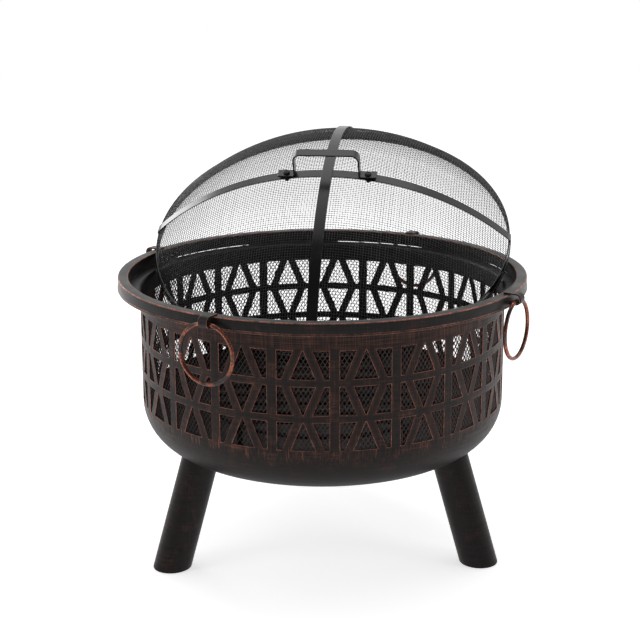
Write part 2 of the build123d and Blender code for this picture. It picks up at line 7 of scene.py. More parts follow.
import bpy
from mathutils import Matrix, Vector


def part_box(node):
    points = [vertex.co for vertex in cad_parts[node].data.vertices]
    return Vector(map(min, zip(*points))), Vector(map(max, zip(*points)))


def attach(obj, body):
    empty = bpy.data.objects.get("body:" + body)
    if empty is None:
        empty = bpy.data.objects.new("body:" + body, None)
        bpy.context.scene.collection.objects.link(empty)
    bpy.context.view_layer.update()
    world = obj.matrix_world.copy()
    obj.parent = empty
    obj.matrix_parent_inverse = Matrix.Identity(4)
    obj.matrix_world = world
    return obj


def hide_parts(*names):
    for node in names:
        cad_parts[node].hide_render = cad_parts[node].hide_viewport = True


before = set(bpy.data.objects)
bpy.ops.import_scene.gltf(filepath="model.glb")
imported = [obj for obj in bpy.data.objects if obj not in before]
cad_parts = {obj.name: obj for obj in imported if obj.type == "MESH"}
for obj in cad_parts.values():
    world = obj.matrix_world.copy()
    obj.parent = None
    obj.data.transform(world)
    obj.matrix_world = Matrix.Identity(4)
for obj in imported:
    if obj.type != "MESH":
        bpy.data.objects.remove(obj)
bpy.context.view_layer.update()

# %% Tools for the lesson
import math

import bmesh
import bpy
from mathutils import Matrix, Vector

MM = 0.001

# %% [markdown]
# ## Where things are
# Every size comes back to the bowl's upright axis and to the top of the rim. Both are read from the packed
# boxes, so that a new pack would carry the looks along with it. Headings are counted as on the real pit:
# 0 is the front, and they grow to the right.

# %% Axis and heights
bowl_low, bowl_high = (Vector(c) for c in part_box("bowl"))
rim_low, rim_high = (Vector(c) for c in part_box("rim_ring"))
AXIS = Vector(((bowl_low.x + bowl_high.x) / 2, (bowl_low.y + bowl_high.y) / 2, 0))
RIM_TOP = rim_high.z
BOWL_UNDER = bowl_low.z
SHEET, WALL_R = 1.6 * MM, 335.6 * MM


def outward(heading):
    """Unit vector away from the bowl's axis at a heading."""
    a = math.radians(heading)
    return Vector((math.sin(a), -math.cos(a), 0))


def along(heading):
    """Unit vector round the bowl at a heading."""
    a = math.radians(heading)
    return Vector((math.cos(a), math.sin(a), 0))


print("axis at y", round(AXIS.y, 4), "rim top", round(RIM_TOP, 4))

# %% [markdown]
# ## A short way to build node trees
# Materials and Geometry Nodes are both trees of nodes. One helper adds a node, sets its properties, and
# fills its sockets, so that a finish below reads as a list of steps.

# %% Node helper
def add(tree, kind, inputs=None, **settings):
    """Add one node; an input is a value or another node's output, keyed by name or number."""
    node = tree.nodes.new(kind)
    for key, value in settings.items():
        setattr(node, key, value)
    for key, value in (inputs or {}).items():
        if isinstance(value, bpy.types.NodeSocket):
            tree.links.new(value, node.inputs[key])
        else:
            node.inputs[key].default_value = value
    return node


def sums(tree, operation, a, *others):
    """Arithmetic, in a material or in Geometry Nodes; further values are taken in one after another."""
    for b in others or (0.0,):
        a = add(tree, "ShaderNodeMath", {0: a, 1: b}, operation=operation).outputs[0]
    return a


def times(tree, *factors):
    return sums(tree, "MULTIPLY", *factors)


def plus(tree, *parts):
    return sums(tree, "ADD", *parts)


def minus(tree, a, b):
    return sums(tree, "SUBTRACT", a, b)


def share(tree, a, b):
    return sums(tree, "DIVIDE", a, b)


print("node helper ready")

# %% [markdown]
# ## Marks in a finish
# Oil-rubbed bronze is painted near black, then brushed over level and upright, so that copper shows in
# fine crossing streaks and along edges. A streak is noise stretched along one direction. Object coordinates
# are used, because each piece's place is in its mesh, so streaks run level round the bowl.

# %% Helpers for finishes
def colour(r, g, b):
    """A colour in linear light, fully opaque."""
    return (r, g, b, 1.0)


def marks(tree, scale, low, high, detail=3.0):
    """Noise stretched by a scale for each direction (per metre), turned into a 0 to 1 mask."""
    where = add(tree, "ShaderNodeTexCoord").outputs["Object"]
    stretched = add(tree, "ShaderNodeMapping", {"Vector": where, "Scale": scale}).outputs[0]
    noise = add(tree, "ShaderNodeTexNoise",
                {"Vector": stretched, "Scale": 1.0, "Detail": detail, "Roughness": 0.6})
    return add(tree, "ShaderNodeMapRange",
               {"Value": noise.outputs[0], "From Min": low, "From Max": high},
               interpolation_type="SMOOTHSTEP").outputs[0]


def spread(tree, mask, low, high):
    """Turn a 0 to 1 mask into a range, such as a roughness."""
    return add(tree, "ShaderNodeMapRange", {"Value": mask, "To Min": low, "To Max": high}).outputs[0]


def paint_over(tree, mask, under, over):
    """Lay one colour over another where the mask is 1."""
    return add(tree, "ShaderNodeMix", {0: mask, 6: under, 7: over}, data_type="RGBA").outputs[2]


def under_rim(tree, depths):
    """A mask by height: it fades in, holds and fades out between four depths under the rim's top, in mm."""
    low, start, end, high = (RIM_TOP - depth * MM for depth in depths)
    where = add(tree, "ShaderNodeTexCoord").outputs["Object"]
    z = add(tree, "ShaderNodeSeparateXYZ", {0: where}).outputs[2]
    rise = add(tree, "ShaderNodeMapRange", {"Value": z, "From Min": low, "From Max": start}).outputs[0]
    fall = add(tree, "ShaderNodeMapRange",
               {"Value": z, "From Min": end, "From Max": high, "To Min": 1.0, "To Max": 0.0}).outputs[0]
    return times(tree, rise, fall)


def relief(tree, shader, height, depth, strength=0.5):
    """Let a mask stand up from the surface by a depth in metres."""
    bump = add(tree, "ShaderNodeBump", {"Height": height, "Distance": depth, "Strength": strength})
    tree.links.new(bump.outputs[0], shader.inputs["Normal"])


def start_finish(name, **even):
    """A new material and its shader, with the values that are the same all over."""
    material = bpy.data.materials.new(name)
    material.use_nodes = True
    shader = material.node_tree.nodes["Principled BSDF"]
    for key, value in even.items():
        shader.inputs[key.replace("_", " ")].default_value = value
    return material, material.node_tree, shader


print("finish helpers ready")

# %% [markdown]
# ## Rubbed bronze
# The bowl's outside, the rim and the legs share one finish, with the copper rubbed through more on the
# bowl and less on the legs. Crossing level and upright streaks make the brushed, linen-like look, and a
# slow patch mask keeps the copper from being even.

# %% Rubbed bronze
def rubbed_bronze(name, dark, light, copper, rub, gloss, with_wear_and_shade=False):
    """Near-black bronze paint brushed two ways, with copper showing in the strokes."""
    material, tree, shader = start_finish(name, Metallic=0.0, Specular_IOR_Level=0.16)
    level = marks(tree, (16, 16, 560), 0.38, 0.68, 4)
    upright = marks(tree, (560, 560, 16), 0.38, 0.68, 4)
    weave = sums(tree, "MAXIMUM", level, upright)
    patches = marks(tree, (30, 30, 38), 0.46, 0.78, 3)
    strokes = times(tree, level, upright)
    both = plus(tree, times(tree, weave, 0.35), times(tree, strokes, 0.9))
    copper_mask = times(tree, both, patches, rub)
    if with_wear_and_shade:
        copper_mask, weave = hand_wear_and_corner_shade(tree, copper_mask, weave, both, upright)
    paint = paint_over(tree, weave, dark, light)
    tree.links.new(paint_over(tree, copper_mask, paint, copper), shader.inputs["Base Color"])
    tree.links.new(spread(tree, weave, gloss[1], gloss[0]), shader.inputs["Roughness"])
    tree.links.new(spread(tree, copper_mask, 0.15, 0.75), shader.inputs["Metallic"])
    relief(tree, shader, weave, 0.06 * MM)
    return material


ABOVE_ROWS = (57, 50, 34, 24)
BELOW_ROWS = (262, 240, 231, 222)
# Depths under the rim where the painted shade on the bowl's lower wall and corner fades in.
CORNER_SHADE_FADE = (290, 238, 1, 0)


def hand_wear_and_corner_shade(tree, copper_mask, weave, both, upright):
    """The bowl's own wear, and a painted shade: warm beside each opening, smeared above and below the rows,
    and lower down no copper and darker paint, a painted shade on the lower wall and corner.
    """
    near = sums(tree, "POWER", add(tree, "ShaderNodeAttribute", attribute_name="rubbed").outputs["Fac"], 1.6)
    warm = times(tree, near, plus(tree, both, 0.35), 0.2)
    upper = times(tree, under_rim(tree, ABOVE_ROWS), both, 0.24)
    smears = times(tree, marks(tree, (300, 300, 9), 0.5, 0.7, 3), upright)
    lower = times(tree, under_rim(tree, BELOW_ROWS), smears, 0.6)
    copper_mask = sums(tree, "MAXIMUM", times(tree, copper_mask, 0.8), warm, upper, lower)
    # Painted shade: below the rows the copper fades out and the lighter paint tone drops to a third, so the
    # wall darkens towards the bottom.
    wall = under_rim(tree, CORNER_SHADE_FADE)
    return times(tree, copper_mask, wall), times(tree, weave, spread(tree, wall, 0.35, 1.0))


BRONZE_DARK = colour(0.0075, 0.0062, 0.0058)
BRONZE_LIGHT = colour(0.018, 0.0125, 0.011)
COPPER = colour(0.30, 0.10, 0.062)
bowl_bronze = rubbed_bronze("bowl_bronze", BRONZE_DARK, BRONZE_LIGHT, COPPER, 0.5, (0.40, 0.55), True)
rim_bronze = rubbed_bronze("rim_bronze", colour(0.010, 0.0096, 0.0093), colour(0.018, 0.0163, 0.0155),
                           COPPER, 0.14, (0.30, 0.42))
leg_bronze = rubbed_bronze("leg_bronze", colour(0.008, 0.0075, 0.0074), colour(0.016, 0.0125, 0.0115),
                           COPPER, 0.15, (0.38, 0.5))
print("bronze finishes:", bowl_bronze.name, rim_bronze.name, leg_bronze.name)

# %% [markdown]
# ## Copper where edges were rubbed
# Every burned-out edge, the rim's corners and the hooks' edges were rubbed down to copper. The line is
# broken, because the rubbing is by hand. The rings are rubbed nearly all over, with dark left in between.

# %% Rubbed copper
def nearer_than(tree, radius):
    """1 where the surface is nearer the bowl's axis than a radius, and 0 from half a millimetre past it."""
    where = add(tree, "ShaderNodeTexCoord").outputs["Object"]
    level = add(tree, "ShaderNodeMapping",
                {"Vector": where, "Location": -AXIS, "Scale": (1, 1, 0)}).outputs[0]
    reach = add(tree, "ShaderNodeVectorMath", {0: level}, operation="LENGTH").outputs["Value"]
    return add(tree, "ShaderNodeMapRange", {"Value": reach, "From Min": radius, "From Max": radius + 0.5 * MM,
                                            "To Min": 1.0, "To Max": 0.0}).outputs[0]


def rubbed_copper(name, dark, copper, bright, kept, rough, patch=70, inside=0.0):
    """Copper with dark paint left in patches, and brighter where it was rubbed most."""
    material, tree, shader = start_finish(name, Metallic=0.8)
    left = marks(tree, (patch, patch, patch), kept[0], kept[1], 4)
    if inside:
        left = sums(tree, "MAXIMUM", left, nearer_than(tree, inside))
    fine = marks(tree, (420, 420, 420), 0.4, 0.7, 3)
    shine = paint_over(tree, fine, copper, bright)
    tree.links.new(paint_over(tree, left, shine, dark), shader.inputs["Base Color"])
    tree.links.new(spread(tree, fine, rough[1], rough[0]), shader.inputs["Roughness"])
    tree.links.new(spread(tree, left, 0.85, 0.2), shader.inputs["Metallic"])
    relief(tree, shader, fine, 0.05 * MM)
    return material


edge_copper = rubbed_copper("edge_copper", colour(0.05, 0.024, 0.018), colour(0.27, 0.095, 0.065),
                            colour(0.5, 0.22, 0.16), (0.42, 0.7), (0.3, 0.5))
cut_copper = rubbed_copper("cut_copper", colour(0.006, 0.0045, 0.004), colour(0.27, 0.095, 0.065),
                           colour(0.5, 0.22, 0.16), (0.45, 0.72), (0.3, 0.5), 70, WALL_R - 0.9 * MM)
ring_copper = rubbed_copper("ring_copper", colour(0.012, 0.007, 0.006), colour(0.13, 0.035, 0.021),
                            colour(0.46, 0.17, 0.105), (0.47, 0.62), (0.24, 0.38), 34)
print("copper finishes:", edge_copper.name, ring_copper.name)

# %% [markdown]
# ## Heat-proof black
# Inside, the bowl is plain satin black, as are the grate and the screen. Stove paint has a very fine
# pebble to it and goes a little grey in places, so tone, gloss and relief all vary gently.

# %% Heat-proof black
def stove_black(name, dark, grey, rough, pebble=900, specular=0.3):
    material, tree, shader = start_finish(name, Metallic=0.0, Specular_IOR_Level=specular)
    fine = marks(tree, (pebble, pebble, pebble), 0.35, 0.65, 2)
    slow = marks(tree, (14, 14, 20), 0.35, 0.7, 4)
    tone = times(tree, plus(tree, fine, slow), 0.5)
    tree.links.new(paint_over(tree, tone, dark, grey), shader.inputs["Base Color"])
    tree.links.new(spread(tree, slow, rough[0], rough[1]), shader.inputs["Roughness"])
    relief(tree, shader, fine, 0.03 * MM, 0.4)
    return material


BLACKS = {
    "bowl_black": ((0.003, 0.003, 0.0032), (0.007, 0.0066, 0.0066), (0.4, 0.55)),
    "screen_black": ((0.005, 0.005, 0.0055), (0.013, 0.013, 0.0138), (0.2, 0.3), 900, 0.45),
    "wire_black": ((0.016, 0.016, 0.0165), (0.045, 0.045, 0.046), (0.28, 0.4), 900, 0.5),
    "grate_black": ((0.003, 0.003, 0.003), (0.009, 0.0085, 0.008), (0.6, 0.8), 500),
    "bolt_black": ((0.008, 0.008, 0.009), (0.03, 0.028, 0.028), (0.3, 0.45)),
    "liner_black": ((0.012, 0.006, 0.005), (0.06, 0.029, 0.023), (0.3, 0.5), 700),
    "weld_black": ((0.012, 0.010, 0.010), (0.045, 0.035, 0.032), (0.35, 0.6), 350)}
blacks = [stove_black(name, colour(*dark), colour(*grey), *how)
          for name, (dark, grey, *how) in BLACKS.items()]
bowl_black, screen_black, wire_black, grate_black, bolt_black, liner_black, weld_black = blacks
print("black finishes:", len(blacks))

# %% [markdown]
# ## Turning, bending and rounding
# Three shop processes make nearly everything here. Rolled and spun pieces are a section turned round an
# axis. Straps, hooks and the grip are strip bent along a line. Sharp corners are rounded as a file or a
# press would leave them, so that they catch the light.

# %% Mesh helpers
def as_piece(name, verts, faces, finishes, marks_of=None, place=None):
    """A mesh object at the origin, merged and smooth, with its place in its mesh."""
    mesh = bpy.data.meshes.new(name)
    mesh.from_pydata(verts, [], faces)
    for finish in finishes:
        mesh.materials.append(finish)
    if marks_of:
        mesh.polygons.foreach_set("material_index", marks_of)
    work = bmesh.new()
    work.from_mesh(mesh)
    bmesh.ops.remove_doubles(work, verts=work.verts, dist=0.004 * MM)
    bmesh.ops.recalc_face_normals(work, faces=work.faces)
    if place:
        work.transform(place)
    for face in work.faces:
        face.smooth = True
    work.to_mesh(mesh)
    work.free()
    piece = bpy.data.objects.new(name, mesh)
    bpy.context.scene.collection.objects.link(piece)
    return piece


def rounded(corners, steps=4):
    """A closed section with round corners: corners are (x, z, radius) and the result (x, z, is_corner)."""
    line = []
    for k, (x, z, radius) in enumerate(corners):
        here = Vector((x, z))
        if not radius:
            line.append((x, z, False))
            continue
        back = (Vector(corners[k - 1][:2]) - here).normalized()
        on = (Vector(corners[(k + 1) % len(corners)][:2]) - here).normalized()
        half = back.angle(on) / 2
        reach = radius / math.tan(half)
        centre = here + (back + on).normalized() * (radius / math.sin(half))
        start = here + back * reach - centre
        sweep = start.angle_signed(here + on * reach - centre)
        for s in range(steps + 1):
            p = centre + Matrix.Rotation(-sweep * s / steps, 2) @ start
            line.append((p.x, p.y, s < steps))
    return line


def turned(name, section, finishes, around=256, place=None):
    """Turn a closed section round the Z axis; its corners take the second finish."""
    verts, faces, which = [], [], []
    count = len(section)
    for k in range(around):
        a = math.tau * k / around
        verts += [(r * math.cos(a), r * math.sin(a), z) for r, z, _ in section]
    for k in range(around):
        base, onward = k * count, (k + 1) % around * count
        for s in range(count):
            t = (s + 1) % count
            faces.append((base + s, onward + s, onward + t, base + t))
            which.append(int(section[s][2]) if len(finishes) > 1 else 0)
    return as_piece(name, verts, faces, finishes, which, place)


def round_section(radius, height, wire, steps=12):
    """Section of a hoop of round wire."""
    turns = [math.tau * s / steps for s in range(steps)]
    return [(radius + wire / 2 * math.cos(a), height + wire / 2 * math.sin(a), False) for a in turns]


def arc(cx, cz, radius, start, end, steps):
    """Points on a circle, angles in degrees from +X towards +Z."""
    turns = [math.radians(start + (end - start) * s / steps) for s in range(steps + 1)]
    return [(cx + radius * math.cos(a), cz + radius * math.sin(a)) for a in turns]


def bent_strip(name, line, width, sheet, finishes, place, edge=0.5):
    """Strip bent along a line in the XZ plane, its edges eased; the eased edges take the last finish."""
    verts, faces = [], []
    for k, here in enumerate(line):
        before, after = Vector(line[max(k - 1, 0)]), Vector(line[min(k + 1, len(line) - 1)])
        run = (after - before).normalized()
        side = Vector((-run.y, run.x)) * sheet / 2
        if 0 < k < len(line) - 1:
            bend = (Vector(here) - before).angle(after - Vector(here))
            side /= math.cos(bend / 2)
        for offset in (-side, side):
            for y in (-width / 2, width / 2):
                verts.append((here[0] + offset.x, y, here[1] + offset.y))
    for k in range(len(line) - 1):
        a, b = 4 * k, 4 * k + 4
        for s, t in ((0, 1), (1, 3), (3, 2), (2, 0)):
            faces.append((a + s, a + t, b + t, b + s))
    end = 4 * len(line) - 4
    faces += [(0, 1, 3, 2), (end, end + 1, end + 3, end + 2)]
    piece = as_piece(name, verts, faces, finishes, None, place)
    ease = piece.modifiers.new("eased edges", "BEVEL")
    ease.width, ease.segments, ease.limit_method = edge * MM, 2, "ANGLE"
    ease.angle_limit = math.radians(50)
    ease.material = len(finishes) - 1
    ease.harden_normals = True
    return piece


print("shop helpers ready")

# %% [markdown]
# ## Geometry Nodes for what repeats
# Mesh diamonds, woven wires, bolts and weld beads repeat many times, so each is one small tree with named
# sizes. The tree's result is turned into a plain mesh, and the tree is taken off again.

# %% Geometry Nodes helpers
SOCKETS = {float: "NodeSocketFloat", int: "NodeSocketInt", bool: "NodeSocketBool"}


def start_tree(name, sizes):
    """A tree with named sizes; returns it with its group input and output nodes."""
    tree = bpy.data.node_groups.new(name, "GeometryNodeTree")
    tree.interface.new_socket("Geometry", in_out="INPUT", socket_type="NodeSocketGeometry")
    tree.interface.new_socket("Geometry", in_out="OUTPUT", socket_type="NodeSocketGeometry")
    for label, value in sizes.items():
        if isinstance(value, bpy.types.Material):
            kind = "NodeSocketMaterial"
        elif isinstance(value, bpy.types.Object):
            kind = "NodeSocketObject"
        else:
            kind = SOCKETS[type(value)]
        tree.interface.new_socket(label, in_out="INPUT", socket_type=kind)
    return tree, add(tree, "NodeGroupInput").outputs, add(tree, "NodeGroupOutput")


def end_tree(tree, geometry, given, out):
    """Close every tree the same way: make instances real, join what touches, and give the finish."""
    real = add(tree, "GeometryNodeRealizeInstances", {0: geometry}).outputs[0]
    real = add(tree, "GeometryNodeMergeByDistance", {"Geometry": real, "Distance": 0.05 * MM}).outputs[0]
    done = add(tree, "GeometryNodeSetMaterial", {"Geometry": real, "Material": given["Finish"]}).outputs[0]
    tree.links.new(done, out.inputs[0])


def copies(tree, points, shape, **how):
    """Put one shape on every point, turned or scaled as asked."""
    return add(tree, "GeometryNodeInstanceOnPoints", {"Points": points, "Instance": shape, **how}).outputs[0]


def rows_of(tree, per_row):
    """Which row a point is in, and its place in that row, both from its index."""
    index = add(tree, "GeometryNodeInputIndex").outputs[0]
    row = sums(tree, "FLOOR", share(tree, index, per_row))
    return row, minus(tree, index, times(tree, row, per_row))


def in_a_row(tree, count, spot):
    """So many points, each at a spot worked out from its index."""
    return add(tree, "GeometryNodePoints", {"Count": count, "Position": spot}).outputs[0]


def on_circle(tree, turn, radius, height):
    """A spot on a level circle, its turn counted in radians from +X."""
    return add(tree, "ShaderNodeCombineXYZ", {
        0: times(tree, sums(tree, "COSINE", turn), radius),
        1: times(tree, sums(tree, "SINE", turn), radius), 2: height}).outputs[0]


def grown(name, tree, sizes, start=None, place=None):
    """Run a tree with its sizes and keep the result as one plain mesh object."""
    seed = bpy.data.objects.new(name + "_start", start or bpy.data.meshes.new(name + "_start"))
    bpy.context.scene.collection.objects.link(seed)
    modifier = seed.modifiers.new("tree", "NODES")
    modifier.node_group = tree
    for item in tree.interface.items_tree:
        if item.in_out == "INPUT" and item.name in sizes:
            modifier[item.identifier] = sizes[item.name]
    bpy.context.view_layer.update()
    mesh = bpy.data.meshes.new_from_object(seed.evaluated_get(bpy.context.evaluated_depsgraph_get()))
    bpy.data.objects.remove(seed)
    mesh.name = name
    if place:
        mesh.transform(place)
    mesh.polygons.foreach_set("use_smooth", [True] * len(mesh.polygons))
    piece = bpy.data.objects.new(name, mesh)
    bpy.context.scene.collection.objects.link(piece)
    print(name, "has", len(mesh.polygons), "faces")
    return piece


def stands_for(piece, body, slot, *nodes):
    """Say which body a piece rides on and which nodes it replaces; the finish slot is not used."""
    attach(piece, body)
    if nodes:
        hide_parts(*nodes)


print("tree helpers ready")

# %% [markdown]
# ## The pierced bowl
# The bowl is one sheet, spun with an outward flange at the top and a round corner at the bottom, then cut
# with three rows of openings. It could be cut out with booleans, but then its skin would be long thin
# triangles that shade badly. Instead, the uncut metal is laid as patches: plain bands between the rows,
# and upright and slanted bars across each row. The patches share their edges, so they merge to one skin,
# which is then given the sheet's thickness and an eased edge that shows the rubbed copper.

# %% Bowl sizes
FLANGE_R = 358.5 * MM
FLANGE_UNDER = RIM_TOP - 25.6 * MM
BEND = 3.4 * MM
CORNER = 89.0 * MM
CELLS, CELL_START = 20, 3.4
ROW_TOP, ROW_HEIGHT, ROW_BAR, ROWS = RIM_TOP - 58 * MM, 49 * MM, 13 * MM, 3
OPENING_HALF = (math.tau * WALL_R / CELLS - 17.6 * MM) / 2
TIP, SLANT, NARROW = 0.8 * MM, 15.5 * MM, 7.5 * MM
CUTS_ACROSS = (3, 4, 2, 4, 2, 4, 3)
print("cells", CELLS, "opening half width mm", round(OPENING_HALF / MM, 2))

# %% Lines across one cell
def cell_line(inner):
    """Turns, from the cell's middle, where the metal starts and stops along one level line."""
    half = [math.asin(x / WALL_R) for x in (*inner, OPENING_HALF)] + [math.pi / CELLS]
    return [-a for a in reversed(half)] + half


NARROW_LINE = cell_line((TIP, TIP + SLANT))
WIDE_LINE = cell_line((OPENING_HALF - NARROW - SLANT, OPENING_HALF - NARROW))


def skin_patch(grid, gaps, low, high, heights):
    """Fill the chosen gaps of a cell between two lines; heights are (share, radius, z) from low to high."""
    for gap in gaps:
        cuts = CUTS_ACROSS[gap]
        columns = []
        for c in range(cuts + 1):
            share = c / cuts
            a = low[gap] + (low[gap + 1] - low[gap]) * share
            b = high[gap] + (high[gap + 1] - high[gap]) * share
            columns.append([(a + (b - a) * t, r, z) for t, r, z in heights])
        for left, right in zip(columns, columns[1:]):
            for k in range(len(heights) - 1):
                grid.append((left[k], right[k], right[k + 1], left[k + 1]))


print("narrow line degrees", [round(math.degrees(a), 2) for a in NARROW_LINE[4:]])

# %% Lay the bowl's skin
def bowl_patches():
    """Patches of one cell, as corners given by turn, radius and height."""
    grid, every, bars = [], range(7), (0, 2, 4, 6)
    flange_z = FLANGE_UNDER
    shoulder = arc(WALL_R + BEND, flange_z - BEND, BEND, 180, 90, 5)
    top = [(0, WALL_R, ROW_TOP), (0, WALL_R, ROW_TOP + 14 * MM)] + [(0, r, z) for r, z in shoulder]
    skin_patch(grid, every, NARROW_LINE, NARROW_LINE, top + [(0, FLANGE_R, flange_z)])
    for row in range(ROWS):
        high = ROW_TOP - row * (ROW_HEIGHT + ROW_BAR)
        upper, lower = (NARROW_LINE, WIDE_LINE) if row % 2 == 0 else (WIDE_LINE, NARROW_LINE)
        steps = [(t / 5, WALL_R, high - ROW_HEIGHT * (1 - t / 5)) for t in range(6)]
        skin_patch(grid, bars, lower, upper, steps)
        if row < ROWS - 1:
            band = [(0, WALL_R, high - ROW_HEIGHT - ROW_BAR * (1 - t)) for t in (0, 0.3, 0.5, 0.7, 1)]
            skin_patch(grid, every, lower, lower, band)
    corner = arc(WALL_R - CORNER, BOWL_UNDER + CORNER, CORNER, 270, 360, 14)
    floor = [(0, r, BOWL_UNDER) for r in (0.0, 60 * MM, 150 * MM)]
    lowest = floor + [(0, r, z) for r, z in corner] + [(0, WALL_R, high - ROW_HEIGHT)]
    skin_patch(grid, every, WIDE_LINE, WIDE_LINE, lowest)
    return grid


one_cell = bowl_patches()
bowl_verts, bowl_faces = [], []
for k in range(CELLS):
    middle = math.radians(CELL_START + (k + 0.5) * 360 / CELLS)
    for patch in one_cell:
        first = len(bowl_verts)
        for turn, r, z in patch:
            a = middle + turn
            bowl_verts.append((AXIS.x + r * math.sin(a), AXIS.y - r * math.cos(a), z))
        bowl_faces.append(range(first, first + 4))
print("bowl skin patches:", len(bowl_faces))

# %% Mark where the cloth caught
def mark_edges(mesh):
    """Write 1 on the skin's open edges and 0 elsewhere, for the finish to read."""
    work = bmesh.new()
    work.from_mesh(mesh)
    rubbed = [float(any(e.is_boundary for e in v.link_edges)) for v in work.verts]
    work.free()
    mesh.attributes.new("rubbed", "FLOAT", "POINT").data.foreach_set("value", rubbed)
    print("rubbed points", int(sum(rubbed)), "of", len(rubbed))


# %% Thicken the bowl and rub its edges
def pierced_bowl():
    """The skin made into sheet: bronze outside, black inside, copper on the cut edges."""
    bowl = as_piece("pierced_bowl", bowl_verts, bowl_faces, (bowl_bronze, bowl_black, cut_copper))
    mesh = bowl.data
    wall = [p for p in mesh.polygons if abs(p.normal.z) < 0.1]
    if sum(p.normal.dot(p.center - AXIS) for p in wall) < 0:
        mesh.flip_normals()
    mark_edges(mesh)
    sheet = bowl.modifiers.new("sheet", "SOLIDIFY")
    sheet.thickness, sheet.offset, sheet.use_even_offset = SHEET, -1, True
    sheet.material_offset, sheet.material_offset_rim = 1, 2
    ease = bowl.modifiers.new("eased edges", "BEVEL")
    ease.width, ease.segments, ease.limit_method = 0.55 * MM, 2, "ANGLE"
    ease.angle_limit, ease.use_clamp_overlap, ease.material = math.radians(45), False, 2
    ease.harden_normals = True
    return bowl


bowl = pierced_bowl()
stands_for(bowl, "pit", "bronze_steel", "bowl")
print("bowl skin", len(bowl.data.polygons), "faces before thickness")

# %% [markdown]
# ## Expanded-metal liner
# Behind the openings lies expanded metal: sheet slit and stretched into standing diamonds. Each strand
# comes out of the press twisted, so strands leaning one way face up and catch the light while the others
# face down. One diamond's frame is drawn with that twist in it, and a tree stands it on every place of a
# staggered grid round the wall.

# %% One diamond of the liner
DIAMONDS_ROUND, DIAMONDS_HIGH = 262, 15
LINER_LOW, LINER_HIGH = (c.z for c in (Vector(v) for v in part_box("mesh_liner")))
LINER_R = WALL_R - SHEET - 0.75 * MM
STRAND, STRAND_SHEET, TWIST = 1.15 * MM, 0.4 * MM, 0.9 * MM


def diamond_frame():
    """Frame of one diamond, seen from outside, with its left and right inner corners twisted."""
    wide = math.tau * LINER_R / DIAMONDS_ROUND / 2
    tall = (LINER_HIGH - LINER_LOW) / DIAMONDS_HIGH / 2
    inradius = wide * tall / math.hypot(wide, tall)
    keep = 1 - STRAND / 2 / inradius
    outer = [(-wide, 0, 0), (0, -tall, 0), (wide, 0, 0), (0, tall, 0)]
    inner = [(x * keep, z * keep, (TWIST if x < 0 else -TWIST) if x else 0) for x, z, _ in outer]
    verts = []
    for depth in (STRAND_SHEET / 2, -STRAND_SHEET / 2):
        verts += [(x, -(d + depth), z) for x, z, d in outer + inner]
    faces = []
    for k in range(4):
        j = (k + 1) % 4
        faces += [(k, j, 4 + j, 4 + k), (8 + j, 8 + k, 12 + k, 12 + j), (4 + k, 4 + j, 12 + j, 12 + k)]
    mesh = bpy.data.meshes.new("diamond")
    mesh.from_pydata(verts, [], faces)
    piece = bpy.data.objects.new("diamond", mesh)
    bpy.context.scene.collection.objects.link(piece)
    return piece


diamond = diamond_frame()
print("diamond width mm", round(math.tau * LINER_R / DIAMONDS_ROUND / MM, 2))

# %% Diamonds round the wall
liner_sizes = {"Diamond": diamond, "Round": DIAMONDS_ROUND, "Rows": 2 * DIAMONDS_HIGH - 1,
               "Radius": LINER_R, "Lowest": LINER_LOW,
               "Step": (LINER_HIGH - LINER_LOW) / DIAMONDS_HIGH / 2, "Finish": liner_black}
tree, given, out = start_tree("expanded_metal", liner_sizes)
row, column = rows_of(tree, given["Round"])
stagger = times(tree, sums(tree, "MODULO", row, 2.0), 0.5)
turn = times(tree, share(tree, plus(tree, column, stagger), given["Round"]), math.tau)
reach_x = times(tree, sums(tree, "SINE", turn), given["Radius"])
reach_y = times(tree, sums(tree, "COSINE", turn), times(tree, given["Radius"], -1.0))
level = plus(tree, given["Lowest"], times(tree, plus(tree, row, 1.0), given["Step"]))
spot = add(tree, "ShaderNodeCombineXYZ", {0: reach_x, 1: reach_y, 2: level}).outputs[0]
facing = add(tree, "ShaderNodeCombineXYZ", {2: turn}).outputs[0]
count = times(tree, given["Round"], given["Rows"])
shape = add(tree, "GeometryNodeObjectInfo", {"Object": given["Diamond"]}).outputs["Geometry"]
placed = copies(tree, in_a_row(tree, count, spot), shape, Rotation=facing)
end_tree(tree, placed, given, out)
liner = grown("expanded_metal_liner", tree, liner_sizes, place=Matrix.Translation(AXIS))
bpy.data.objects.remove(diamond)
stands_for(liner, "pit", "bronze_mesh", "mesh_liner")

# %% Close the liner's cut borders
def close_borders(mesh):
    """Join the sheet's front to its back along the top and the bottom of the liner."""
    work = bmesh.new()
    work.from_mesh(mesh)
    middle = (LINER_LOW + LINER_HIGH) / 2
    for sign in (-1, 1):
        border = [e for e in work.edges if e.is_boundary and (e.verts[0].co.z - middle) * sign > 0]
        bmesh.ops.bridge_loops(work, edges=border)
    for face in work.faces:
        face.smooth = True
    print("open edges left on the liner:", sum(e.is_boundary for e in work.edges))
    work.to_mesh(mesh)
    work.free()


close_borders(liner.data)

# %% [markdown]
# ## Rolled rim
# The rim is strip folded to an upside-down channel and rolled to a hoop: a flat top, an outer band with a
# small rolled hem, and an inner band. Its corners are where a hand rubs, so they take the copper.

